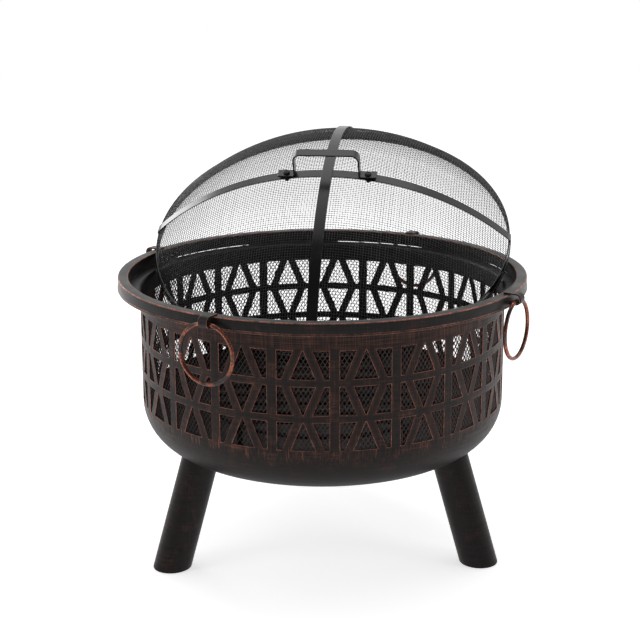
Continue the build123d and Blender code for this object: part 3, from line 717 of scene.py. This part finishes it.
# %% Rim
RIM_R = (rim_high.x - rim_low.x) / 2 - 1 * MM
rim_section = rounded([(x * MM, RIM_TOP + z * MM, r * MM) for x, z, r in (
    (356, -22.6, 0.5), (356, 0, 1.6), (375, 0, 1.8), (375, -18.6, 0.8), (376, -19.4, 0.5),
    (376, -21.6, 0.5), (375, -22, 0.4), (373, -22, 0), (373, -2, 0), (358, -2, 0), (358, -22.6, 0.5))])
rim = turned("rolled_rim", rim_section, (rim_bronze, edge_copper), 288, Matrix.Translation(AXIS))
stands_for(rim, "pit", "bronze_steel", "rim_ring")
print("rim radius mm", round(RIM_R / MM, 1), "section points", len(rim_section))

# %% [markdown]
# ## Stitch welds
# The rim is not welded all round, only in six stitches, and the seam stays open between them. A weld bead
# is a row of overlapping drops, so a tree sets a drop every few millimetres along each stitch.

# %% Stitch welds
STITCHES, STITCH_TURN = 6, 30.0
weld_low, weld_high = (Vector(c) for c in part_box("rim_welds"))
stitch_sizes = {"Stitches": STITCHES, "Drops": 60, "Stitch Turn": math.radians(STITCH_TURN),
                "First": math.radians(25.0), "Radius": 357.1 * MM,
                "Height": (weld_low.z + weld_high.z) / 2, "Finish": weld_black}
tree, given, out = start_tree("stitch_weld", stitch_sizes)
stitch, drop = rows_of(tree, given["Drops"])
step = share(tree, given["Stitch Turn"], minus(tree, given["Drops"], 1.0))
pitch = share(tree, math.tau, given["Stitches"])
turn = plus(tree, given["First"], plus(tree, times(tree, stitch, pitch), times(tree, drop, step)))
spot = on_circle(tree, turn, given["Radius"], given["Height"])
points = in_a_row(tree, times(tree, given["Stitches"], given["Drops"]), spot)
bead = add(tree, "GeometryNodeMeshUVSphere", {"Segments": 10, "Rings": 6, "Radius": 1.0}).outputs[0]
jitter = add(tree, "FunctionNodeRandomValue", {"Min": 0.85, "Max": 1.15, "Seed": 7}, data_type="FLOAT")
size = times(tree, jitter.outputs[1], 1.9 * MM)
flat = add(tree, "ShaderNodeCombineXYZ", {0: size, 1: size, 2: times(tree, size, 0.6)}).outputs[0]
end_tree(tree, copies(tree, points, bead, Scale=flat), given, out)
welds = grown("stitch_welds", tree, stitch_sizes, place=Matrix.Translation(AXIS))
stands_for(welds, "pit", "black_steel", "rim_welds")

# %% [markdown]
# ## Legs, plates and feet
# The legs are plain tube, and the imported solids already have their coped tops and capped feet, so they
# stay as they are and only take their finish. Tube has a drawn grain along its length, and the two-way
# strokes of the bronze stand in for it.

# %% Finish the legs
def dress(node, finish):
    """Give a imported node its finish."""
    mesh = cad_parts[node].data
    mesh.materials.clear()
    mesh.materials.append(finish)


for k in (1, 2, 3):
    dress(f"leg_{k}", leg_bronze)
    dress(f"leg_plate_{k}", leg_bronze)
dress("leg_foot_caps", leg_bronze)
print("dressed 3 legs, 3 plates and their feet")

# %% [markdown]
# ## Bolts and nuts
# Each leg's plate hangs on two dome-headed bolts through the bowl's floor, with hexagon nuts under it.
# Both repeat six times, so one head and one nut are turned, and a tree puts them on the bolt spots with a
# small turn of their own, as spanners leave them.

# %% Fasteners
LEG_TURN, BOLT_FROM_CORNER, BOLT_SPREAD = 1.8, 62 * MM, 34 * MM
LEG_HEADINGS = [LEG_TURN + h for h in (-60, 60, 180)]
BOLT_R = WALL_R - CORNER - BOLT_FROM_CORNER
bolt_low, bolt_high = (Vector(c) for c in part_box("leg_bolts"))
nut_low, nut_high = (Vector(c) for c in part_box("leg_nuts"))


def bolt_spots():
    """A mesh of bare points, two bolts for each leg."""
    spots = bpy.data.meshes.new("bolt_spots")
    spots.from_pydata([AXIS + outward(h) * BOLT_R + along(h) * side * BOLT_SPREAD / 2
                       for h in LEG_HEADINGS for side in (-1, 1)], [], [])
    return spots


def turned_shape(name, section, around, finish):
    """An open section turned to a closed solid, from its top pole to its bottom pole."""
    verts, faces = [], []
    for k in range(around):
        a = math.tau * k / around
        verts += [(r * math.cos(a), r * math.sin(a), z) for r, z in section]
    count = len(section)
    for k in range(around):
        a, b = k * count, (k + 1) % around * count
        faces += [(a + s, a + s + 1, b + s + 1, b + s) for s in range(count - 1)]
    return as_piece(name, verts, faces, (finish,))


def fasteners(name, shape, finish):
    """Put one shape on every bolt spot, each turned a little differently."""
    sizes = {"Shape": shape, "Seed": 3, "Finish": finish}
    tree, given, out = start_tree(name, sizes)
    chance = add(tree, "FunctionNodeRandomValue", {"Min": 0.0, "Max": 1.0, "Seed": given["Seed"]},
                 data_type="FLOAT").outputs[1]
    turn = add(tree, "ShaderNodeCombineXYZ", {2: chance}).outputs[0]
    points = add(tree, "GeometryNodeMeshToPoints", {0: given["Geometry"]}).outputs[0]
    shape_in = add(tree, "GeometryNodeObjectInfo", {"Object": given["Shape"]}).outputs["Geometry"]
    end_tree(tree, copies(tree, points, shape_in, Rotation=turn), given, out)
    piece = grown(name, tree, sizes, bolt_spots())
    bpy.data.objects.remove(shape)
    return piece


FLOOR_Z = BOWL_UNDER + SHEET
dome = [(9 * MM * math.sin(a), FLOOR_Z + 0.5 * MM + 3.5 * MM * math.cos(a))
        for a in (math.radians(90 * s / 8) for s in range(9))]
bolt_line = dome + [(9 * MM, FLOOR_Z), (4 * MM, FLOOR_Z), (4 * MM, bolt_low.z + 0.6 * MM),
                    (3.4 * MM, bolt_low.z), (0, bolt_low.z)]
bolts = fasteners("carriage_bolts", turned_shape("bolt", bolt_line, 24, bolt_black), bolt_black)
stands_for(bolts, "pit", "black_steel", "leg_bolts")

# %% Hexagon nuts
def hexagon_nut(low, high):
    """A nut with its corners turned off top and bottom, and a bore."""
    corner, chamfer, bore = 13 * MM / 2 / math.cos(math.pi / 6), 0.7 * MM, 4.02 * MM
    rings = [(bore, low), (corner - chamfer, low), (corner, low + chamfer),
             (corner, high - chamfer), (corner - chamfer, high), (bore, high)]
    verts, faces = [], []
    for r, z in rings:
        verts += [(r * math.cos(math.tau * k / 6), r * math.sin(math.tau * k / 6), z) for k in range(6)]
    for ring in range(len(rings)):
        a, b = 6 * ring, 6 * ((ring + 1) % len(rings))
        faces += [(a + k, a + (k + 1) % 6, b + (k + 1) % 6, b + k) for k in range(6)]
    return as_piece("nut", verts, faces, (bolt_black,))


nuts = fasteners("hexagon_nuts", hexagon_nut(nut_low.z, nut_high.z), bolt_black)
nuts.data.polygons.foreach_set("use_smooth", [False] * len(nuts.data.polygons))
stands_for(nuts, "pit", "black_steel", "leg_nuts")

# %% [markdown]
# ## Hooks and rings
# A hook is strip laid on the rim, rolled round and welded back to the band. The ring is round bar bent to
# a circle and butt-welded, and the weld shows as a slight swelling. The ring hangs in its hook, flat to
# the bowl, and each ring rides on a body of its own.

# %% Hooks
HANDLE_START, HOOK_INSIDE, HOOK_SHEET, HOOK_WIDTH = -29.5, 15 * MM, 3 * MM, 17 * MM


def hook_line():
    """Middle line of the strip, by distance from the axis and height."""
    r = RIM_R + HOOK_INSIDE / 2 + HOOK_SHEET
    z = RIM_TOP - HOOK_INSIDE / 2
    half = (HOOK_INSIDE + HOOK_SHEET) / 2
    flat = [(RIM_R - 12 * MM, z + half), (RIM_R, z + half)]
    return flat + arc(r, z, half, 90, -90, 16) + [(RIM_R + 0.2 * MM, z - half)]


for k in range(4):
    heading = HANDLE_START + k * 90
    turn = Matrix.Translation(AXIS) @ Matrix.Rotation(math.radians(heading - 90), 4, "Z")
    hook = bent_strip(f"hook_{k + 1}", hook_line(), HOOK_WIDTH, HOOK_SHEET, (rim_bronze, edge_copper), turn)
    stands_for(hook, "pit", "copper_bronze", f"ring_bracket_{k + 1}")
print("hooks at headings", [HANDLE_START + k * 90 for k in range(4)])

# %% Rings
RING_MEAN, RING_WIRE = 51.5 * MM, 7 * MM
WELD_SWELL, WELD_AT, WELD_SPAN = 0.11, 4.1, 0.035


def carry_ring(name, heading, centre):
    """Bar bent round, with its butt weld down at one side."""
    verts, faces, around, section = [], [], 112, 14
    t = along(heading)
    for k in range(around):
        a = math.tau * k / around
        spoke = t * math.sin(a) + Vector((0, 0, math.cos(a)))
        swell = 1 + WELD_SWELL * math.exp(-((a - WELD_AT) / WELD_SPAN) ** 2)
        for s in range(section):
            b = math.tau * s / section
            wire = RING_WIRE / 2 * swell
            verts.append(centre + spoke * (RING_MEAN + wire * math.cos(b))
                         + outward(heading) * wire * math.sin(b))
    for k in range(around):
        a, b = k * section, (k + 1) % around * section
        faces += [(a + s, a + (s + 1) % section, b + (s + 1) % section, b + s) for s in range(section)]
    return as_piece(name, verts, faces, (ring_copper,))


for k in range(4):
    low, high = (Vector(c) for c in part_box(f"ring_handle_{k + 1}"))
    ring = carry_ring(f"carry_ring_{k + 1}", HANDLE_START + k * 90, (low + high) / 2)
    stands_for(ring, f"ring_{k + 1}", "copper_bronze", f"ring_handle_{k + 1}")
print("4 carry rings of", RING_WIRE / MM, "mm bar")

# %% [markdown]
# ## Log grate
# Seven rods lie across a hoop on four posts, all of 10 mm bar with cropped ends eased by the saw. The
# hoop is turned. The rods are one tree, which works out each rod's length from the hoop's circle.

# %% Grate hoop and posts
GRATE_R, BAR = 210 * MM, 10 * MM
hoop_low, hoop_high = (Vector(c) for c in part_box("log_grate_ring"))
GRATE_Z = (hoop_low.z + hoop_high.z) / 2
grate_hoop = turned("grate_hoop", round_section(GRATE_R, GRATE_Z, BAR, 16), (grate_black,), 160,
                    Matrix.Translation(AXIS))
stands_for(grate_hoop, "grate", "black_steel", "log_grate_ring")
post_low, post_high = (Vector(c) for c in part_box("log_grate_feet"))
posts_sizes = {"Posts": 4, "Radius": GRATE_R, "Lowest": post_low.z, "Height": post_high.z - post_low.z,
               "Bar": BAR, "Finish": grate_black}
tree, given, out = start_tree("grate_posts", posts_sizes)
index = add(tree, "GeometryNodeInputIndex").outputs[0]
turn = times(tree, plus(tree, index, 0.5), share(tree, math.tau, given["Posts"]))
middle = plus(tree, given["Lowest"], times(tree, given["Height"], 0.5))
points = in_a_row(tree, given["Posts"], on_circle(tree, turn, given["Radius"], middle))
post = add(tree, "GeometryNodeMeshCylinder", {
    "Vertices": 20, "Side Segments": 3, "Fill Segments": 2, "Radius": times(tree, given["Bar"], 0.5),
    "Depth": given["Height"]}, fill_type="NGON").outputs["Mesh"]
end_tree(tree, copies(tree, points, post), given, out)
posts = grown("grate_posts", tree, posts_sizes, place=Matrix.Translation(AXIS))
stands_for(posts, "grate", "black_steel", "log_grate_feet")

# %% Grate rods
bars_low, bars_high = (Vector(c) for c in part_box("log_grate_bars"))
rod_sizes = {"Rods": 7, "Radius": GRATE_R, "Height": (bars_low.z + bars_high.z) / 2, "Bar": BAR,
             "Finish": grate_black}
tree, given, out = start_tree("grate_rods", rod_sizes)
index = add(tree, "GeometryNodeInputIndex").outputs[0]
pitch = share(tree, times(tree, given["Radius"], 2.0), plus(tree, given["Rods"], 1.0))
middle = times(tree, minus(tree, given["Rods"], 1.0), 0.5)
across = times(tree, minus(tree, index, middle), pitch)
chord = sums(tree, "SQRT", minus(tree, times(tree, given["Radius"], given["Radius"]),
                               times(tree, across, across)))
half = plus(tree, chord, times(tree, given["Bar"], 0.5))
spot = add(tree, "ShaderNodeCombineXYZ", {1: across, 2: given["Height"]}).outputs[0]
rod = add(tree, "GeometryNodeMeshCylinder", {
    "Vertices": 20, "Side Segments": 1, "Fill Segments": 1, "Radius": times(tree, given["Bar"], 0.5),
    "Depth": 2.0}, fill_type="NGON").outputs["Mesh"]
lying = add(tree, "GeometryNodeTransform", {"Geometry": rod, "Rotation": (0, math.pi / 2, 0)}).outputs[0]
length = add(tree, "ShaderNodeCombineXYZ", {0: half, 1: 1.0, 2: 1.0}).outputs[0]
placed = copies(tree, in_a_row(tree, given["Rods"], spot), lying, Scale=length)
end_tree(tree, placed, given, out)
rods = grown("grate_rods", tree, rod_sizes, place=Matrix.Translation(AXIS))
for piece in (rods, posts):
    crop = piece.modifiers.new("cropped ends", "BEVEL")
    crop.width, crop.segments, crop.limit_method = 0.8 * MM, 2, "ANGLE"
    crop.angle_limit, crop.harden_normals = math.radians(60), True
stands_for(rods, "grate", "black_steel", "log_grate_bars")

# %% [markdown]
# ## How the spark screen leans
# The screen is easiest to make standing level on a bench, with its hoop at height nought. One matrix then
# leans it into the bowl's mouth. The hoop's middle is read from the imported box.

# %% The screen's own bench frame
SCREEN_TILT, SCREEN_HEADING = math.radians(27.6), math.radians(7.8)
hoop_low, hoop_high = (Vector(c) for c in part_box("screen_base_ring"))
LEAN = Matrix.Translation((hoop_low + hoop_high) / 2) @ Matrix.Rotation(-SCREEN_HEADING, 4, "Z") \
    @ Matrix.Rotation(SCREEN_TILT, 4, "X")
HOOP_R, HOOP_WIRE = 341.1 * MM, 5 * MM
BAND_SHEET, BAND_LOW, BAND_TOP = 1.5 * MM, 2.5 * MM, 18.5 * MM
RISE, WIRE, WIRE_PITCH = 144 * MM, 0.88 * MM, 4.85 * MM
DOME_EDGE = HOOP_R - BAND_SHEET / 2
DOME_R = (DOME_EDGE ** 2 + RISE ** 2) / (2 * RISE)
DOME_CENTRE = BAND_TOP + RISE - DOME_R
print("dome radius mm", round(DOME_R / MM, 1))

# %% [markdown]
# ## Hoop and band
# The foot of the screen is a hoop of 5 mm wire with a thin upright band welded on it. The band holds the
# edge of the mesh and takes the ends of the straps.

# %% Hoop and band
screen_hoop = turned("screen_hoop", round_section(HOOP_R, 0, HOOP_WIRE), (screen_black,), 256, LEAN)
stands_for(screen_hoop, "screen", "screen_black", "screen_base_ring")
half = BAND_SHEET / 2
band_section = rounded([(HOOP_R - half, BAND_LOW, 0), (HOOP_R - half, BAND_TOP, 0.4 * MM),
                        (HOOP_R + half, BAND_TOP, 0.4 * MM), (HOOP_R + half, BAND_LOW, 0)], 2)
band = turned("screen_skirt", band_section, (screen_black,), 256, LEAN)
stands_for(band, "screen", "screen_black", "screen_band")
print("band height mm", round((BAND_TOP - BAND_LOW) / MM, 1))

# %% [markdown]
# ## Woven wire
# Spark mesh is woven: each wire passes over one crossing wire and under the next, and the two directions
# swap. The tree starts with a flat grid, keeps the lines of one direction, lifts every crossing to the
# dome, and moves it in or out by half a wire in turn. Past the dome's edge the wires turn down inside the
# band. The two directions are made as two pieces, because each has very many faces.

# %% Woven wire tree
wire_sizes = {"Wires": 2 * int((DOME_EDGE + 12 * MM) / WIRE_PITCH) + 1, "Pitch": WIRE_PITCH, "Wire": WIRE,
              "Edge": DOME_EDGE - WIRE, "Skirt": 12 * MM, "Dome": DOME_R - WIRE, "Centre": DOME_CENTRE,
              "Crosswise": False, "Finish": wire_black}
tree, given, out = start_tree("woven_wire", wire_sizes)
side = times(tree, minus(tree, given["Wires"], 1.0), given["Pitch"])
grid = add(tree, "GeometryNodeMeshGrid", {"Size X": side, "Size Y": side, "Vertices X": given["Wires"],
                                          "Vertices Y": given["Wires"]}).outputs["Mesh"]
here = add(tree, "ShaderNodeSeparateXYZ", {0: add(tree, "GeometryNodeInputPosition").outputs[0]}).outputs
reach = sums(tree, "SQRT", plus(tree, times(tree, here[0], here[0]),
                               times(tree, here[1], here[1])))
too_far = sums(tree, "GREATER_THAN", reach, plus(tree, given["Edge"], given["Skirt"]))
disc = add(tree, "GeometryNodeDeleteGeometry", {"Geometry": grid, "Selection": too_far},
           domain="POINT").outputs[0]
ends = add(tree, "GeometryNodeInputMeshEdgeVertices").outputs
run = add(tree, "ShaderNodeVectorMath", {0: ends["Position 1"], 1: ends["Position 2"]}, operation="SUBTRACT")
run = add(tree, "ShaderNodeSeparateXYZ", {0: run.outputs[0]}).outputs
lengthwise = sums(tree, "GREATER_THAN", sums(tree, "ABSOLUTE", run[0]), sums(tree, "ABSOLUTE", run[1]))
dropped = sums(tree, "COMPARE", lengthwise, given["Crosswise"])
lines = add(tree, "GeometryNodeDeleteGeometry", {"Geometry": disc, "Selection": dropped},
            domain="EDGE", mode="EDGE_FACE").outputs[0]
print("wires each way:", wire_sizes["Wires"])

# %% Lift the wires to the dome and sweep them
capped = sums(tree, "MINIMUM", reach, given["Edge"])
past = sums(tree, "MAXIMUM", minus(tree, reach, given["Edge"]), 0.0)
squared = minus(tree, times(tree, given["Dome"], given["Dome"]),
               times(tree, capped, capped))
height = minus(tree, plus(tree, given["Centre"], sums(tree, "SQRT", squared)), past)
pull = share(tree, capped, sums(tree, "MAXIMUM", reach, 1e-6))
crossing = share(tree, plus(tree, here[0], here[1]), given["Pitch"])
over = sums(tree, "COSINE", times(tree, crossing, math.pi))
way = minus(tree, times(tree, given["Crosswise"], 2.0), 1.0)
weave = times(tree, times(tree, over, way), times(tree, given["Wire"], 0.5))
swell = plus(tree, 1.0, share(tree, weave, given["Dome"]))
lifted = add(tree, "ShaderNodeCombineXYZ", {
    0: times(tree, times(tree, here[0], pull), swell),
    1: times(tree, times(tree, here[1], pull), swell),
    2: plus(tree, height, weave)}).outputs[0]
domed = add(tree, "GeometryNodeSetPosition", {"Geometry": lines, "Position": lifted}).outputs[0]
strands = add(tree, "GeometryNodeMeshToCurve", {"Mesh": domed}).outputs[0]
round_wire = add(tree, "GeometryNodeCurvePrimitiveCircle",
                 {"Resolution": 4, "Radius": times(tree, given["Wire"], 0.53)}).outputs[0]
swept = add(tree, "GeometryNodeCurveToMesh",
            {"Curve": strands, "Profile Curve": round_wire, "Fill Caps": True})
end_tree(tree, swept.outputs[0], given, out)
for crosswise, name in ((False, "wires_lengthwise"), (True, "wires_crosswise")):
    wires = grown(name, tree, {**wire_sizes, "Crosswise": crosswise}, place=LEAN)
    stands_for(wires, "screen", "screen_wire", *(("screen_mesh",) if crosswise else ()))

# %% [markdown]
# ## Straps over the dome
# Two 20 mm straps cross at the crown and are turned down onto the band. They share one bending line, and
# the upper one rises a little more, because it passes over the lower.

# %% Straps
STRAP_WIDTH, STRAP_SHEET = 20 * MM, 2 * MM
SPAN = HOOP_R + BAND_SHEET / 2
SIDE_RISE = DOME_CENTRE + DOME_R - BAND_TOP
SIDE_ARC = (SPAN ** 2 + SIDE_RISE ** 2) / (2 * SIDE_RISE)
UNDER_SAG = SIDE_ARC - math.sqrt(SIDE_ARC ** 2 - (STRAP_WIDTH / 2) ** 2)


def strap_line(rise):
    """Middle line of a strap: up the band, over the dome, and down the other side."""
    radius = (SPAN ** 2 + rise ** 2) / (2 * rise)
    centre = BAND_TOP + rise - radius
    mid, out = radius + STRAP_SHEET / 2, SPAN + STRAP_SHEET / 2
    shoulder = math.degrees(math.acos(out / mid))
    low = BAND_TOP - 0.6 * (BAND_TOP - BAND_LOW)
    over_dome = arc(0, centre, mid, 180 - shoulder, shoulder, 72)
    return [(-out, low), (-out, low + 5 * MM), *over_dome, (out, low + 5 * MM), (out, low)]


side_strap = bent_strip("side_strap", strap_line(SIDE_RISE), STRAP_WIDTH, STRAP_SHEET, (screen_black,), LEAN)
stands_for(side_strap, "screen", "screen_black", "screen_strap_side")
quarter = LEAN @ Matrix.Rotation(math.pi / 2, 4, "Z")
top_rise = SIDE_RISE + STRAP_SHEET + 1.1 * UNDER_SAG
long_strap = bent_strip("front_back_strap", strap_line(top_rise), STRAP_WIDTH, STRAP_SHEET,
                        (screen_black,), quarter)
stands_for(long_strap, "screen", "screen_black", "screen_strap_front_back")
print("strap rises mm", round(SIDE_RISE / MM, 1), round(top_rise / MM, 1))

# %% [markdown]
# ## Lift grip
# The grip is the same strip bent to a bridge, with two feet lying on the lower strap, and a screw and nut
# through each foot. The bends are arcs, because strip folded square would crack.

# %% Grip
GRIP_HALF, GRIP_FOOT, GRIP_SHEET, GRIP_RISE = 61 * MM, 32 * MM, 3 * MM, 48 * MM


def strap_top(x):
    """Height of the lower strap's face at a distance from the crown."""
    return BAND_TOP + SIDE_RISE - SIDE_ARC + math.sqrt((SIDE_ARC + STRAP_SHEET) ** 2 - x ** 2)


def grip_line():
    """Middle line of the grip: foot, small bend, post, big bend, and the same again."""
    foot = strap_top(GRIP_HALF) + GRIP_SHEET / 2
    top = strap_top(0) + GRIP_RISE - GRIP_SHEET / 2
    big, small = 14 * MM, 3.6 * MM
    right = arc(GRIP_HALF - big, top - big, big, 90, 0, 8) \
        + arc(GRIP_HALF + small, foot + small, small, 180, 270, 5) + [(GRIP_HALF + GRIP_FOOT, foot)]
    return [(-x, z) for x, z in reversed(right)] + right


grip = bent_strip("lift_grip", grip_line(), STRAP_WIDTH, GRIP_SHEET, (screen_black,), LEAN, 0.8)
stands_for(grip, "screen", "screen_black", "screen_handle")
dress("screen_handle_screws", bolt_black)
dress("screen_handle_nuts", bolt_black)
print("grip line points", len(grip_line()))

# %% [markdown]
# ## Studio
# A plain pale floor and soft white light from all round, stronger behind than in front, so that dark steel
# reads by its reflections. Tall soft lights at the sides draw the bright lines down the rings and the rim,
# one behind at the left lights the rim's top, and one overhead fills the bowl.

# %% Floor
FLOOR_R, FLOOR_GLOW = 9.0, 0.66


def pale_floor():
    """A wide disc that shines a little by itself, so that it stays white under the shadow."""
    turns = [math.tau * k / 64 for k in range(64)]
    verts = [(FLOOR_R * math.cos(a), FLOOR_R * math.sin(a), 0) for a in turns]
    material, tree, shader = start_finish("pale_floor", Roughness=0.9)
    grain = marks(tree, (3, 3, 3), 0.3, 0.7, 2)
    tree.links.new(paint_over(tree, grain, colour(0.86, 0.86, 0.86), colour(0.88, 0.88, 0.88)),
                   shader.inputs["Base Color"])
    shader.inputs["Emission Color"].default_value = colour(1, 1, 1)
    shader.inputs["Emission Strength"].default_value = FLOOR_GLOW
    floor = as_piece("floor", verts, [range(64)], (material,))
    if floor.data.polygons[0].normal.z < 0:
        floor.data.flip_normals()
    return floor


pale_floor()
print("floor laid")

# %% Light
def soft_light(name, spot, aim, size, power):
    """A soft rectangle of light at a spot, facing what it aims at; the power is in watts."""
    lamp = bpy.data.lights.new(name, "AREA")
    lamp.shape, lamp.size, lamp.size_y, lamp.energy = "RECTANGLE", size[0], size[1], power
    holder = bpy.data.objects.new(name, lamp)
    holder.location = spot
    holder.rotation_mode = "QUATERNION"
    holder.rotation_quaternion = (Vector(aim) - Vector(spot)).to_track_quat("-Z", "Y")
    bpy.context.scene.collection.objects.link(holder)


soft_light("left_soft", (-2.3, -1.1, 1.6), (0, 0, 0.4), (1.2, 2.0), 13)
soft_light("right_soft", (2.4, -0.9, 1.5), (0, 0, 0.4), (1.0, 2.0), 9)
soft_light("back_left_soft", (-2.0, 2.6, 1.5), (-0.2, 0, 0.5), (1.0, 1.2), 16)
soft_light("top_soft", (0.0, 0.5, 3.0), (0, 0, 0.3), (2.6, 2.6), 16)

world = bpy.data.worlds.new("studio")
bpy.context.scene.world = world
world.use_nodes = True
tree = world.node_tree
tree.nodes.clear()
direction = add(tree, "ShaderNodeTexCoord").outputs["Generated"]
parts = add(tree, "ShaderNodeSeparateXYZ", {0: direction}).outputs
FRONT_LIGHT, BACK_LIGHT = 0.09, 1.0
backwards = plus(tree, parts[1], times(tree, parts[2], -0.1))
behind = add(tree, "ShaderNodeMapRange", {"Value": backwards, "From Min": -0.5, "From Max": 0.5,
                                          "To Min": FRONT_LIGHT, "To Max": BACK_LIGHT},
             interpolation_type="SMOOTHSTEP").outputs[0]
room = add(tree, "ShaderNodeBackground", {"Color": colour(1, 1, 1), "Strength": behind}).outputs[0]
white = add(tree, "ShaderNodeBackground", {"Color": colour(1, 1, 1), "Strength": 1.0}).outputs[0]
seen = add(tree, "ShaderNodeLightPath").outputs["Is Camera Ray"]
both = add(tree, "ShaderNodeMixShader", {0: seen, 1: room, 2: white}).outputs[0]
add(tree, "ShaderNodeOutputWorld", {"Surface": both})
bpy.context.scene.view_settings.view_transform = "Standard"
print("lights set")

# %% [markdown]
# ## Camera
# The camera stands in front of the pit and a little above the rim, looking at the middle of the rim's top
# circle. A small shift raises the rim above the middle of the view, so that the legs come in below it, and
# the camera leans a sixth of a degree to one side.

# %% Camera
CAMERA_ELEVATION, CAMERA_DISTANCE, CAMERA_LEAN = 13.3, 2.6602, -0.166
SENSOR, LENS, SHIFT_X, SHIFT_Y = 36.0, 80.94, -0.0036, -0.0788
camera = bpy.data.cameras.new("camera")
camera.sensor_width, camera.lens = SENSOR, LENS
camera.shift_x, camera.shift_y = SHIFT_X, SHIFT_Y
holder = bpy.data.objects.new("camera", camera)
aim = AXIS + Vector((0, 0, RIM_TOP))
e = math.radians(CAMERA_ELEVATION)
holder.location = aim + Vector((0, -math.cos(e), math.sin(e))) * CAMERA_DISTANCE
look = (aim - holder.location).to_track_quat("-Z", "Y").to_matrix().to_4x4()
holder.rotation_mode = "QUATERNION"
holder.rotation_quaternion = (look @ Matrix.Rotation(math.radians(CAMERA_LEAN), 4, "Z")).to_quaternion()
bpy.context.scene.collection.objects.link(holder)
bpy.context.scene.camera = holder
print("camera at", [round(v, 3) for v in holder.location])
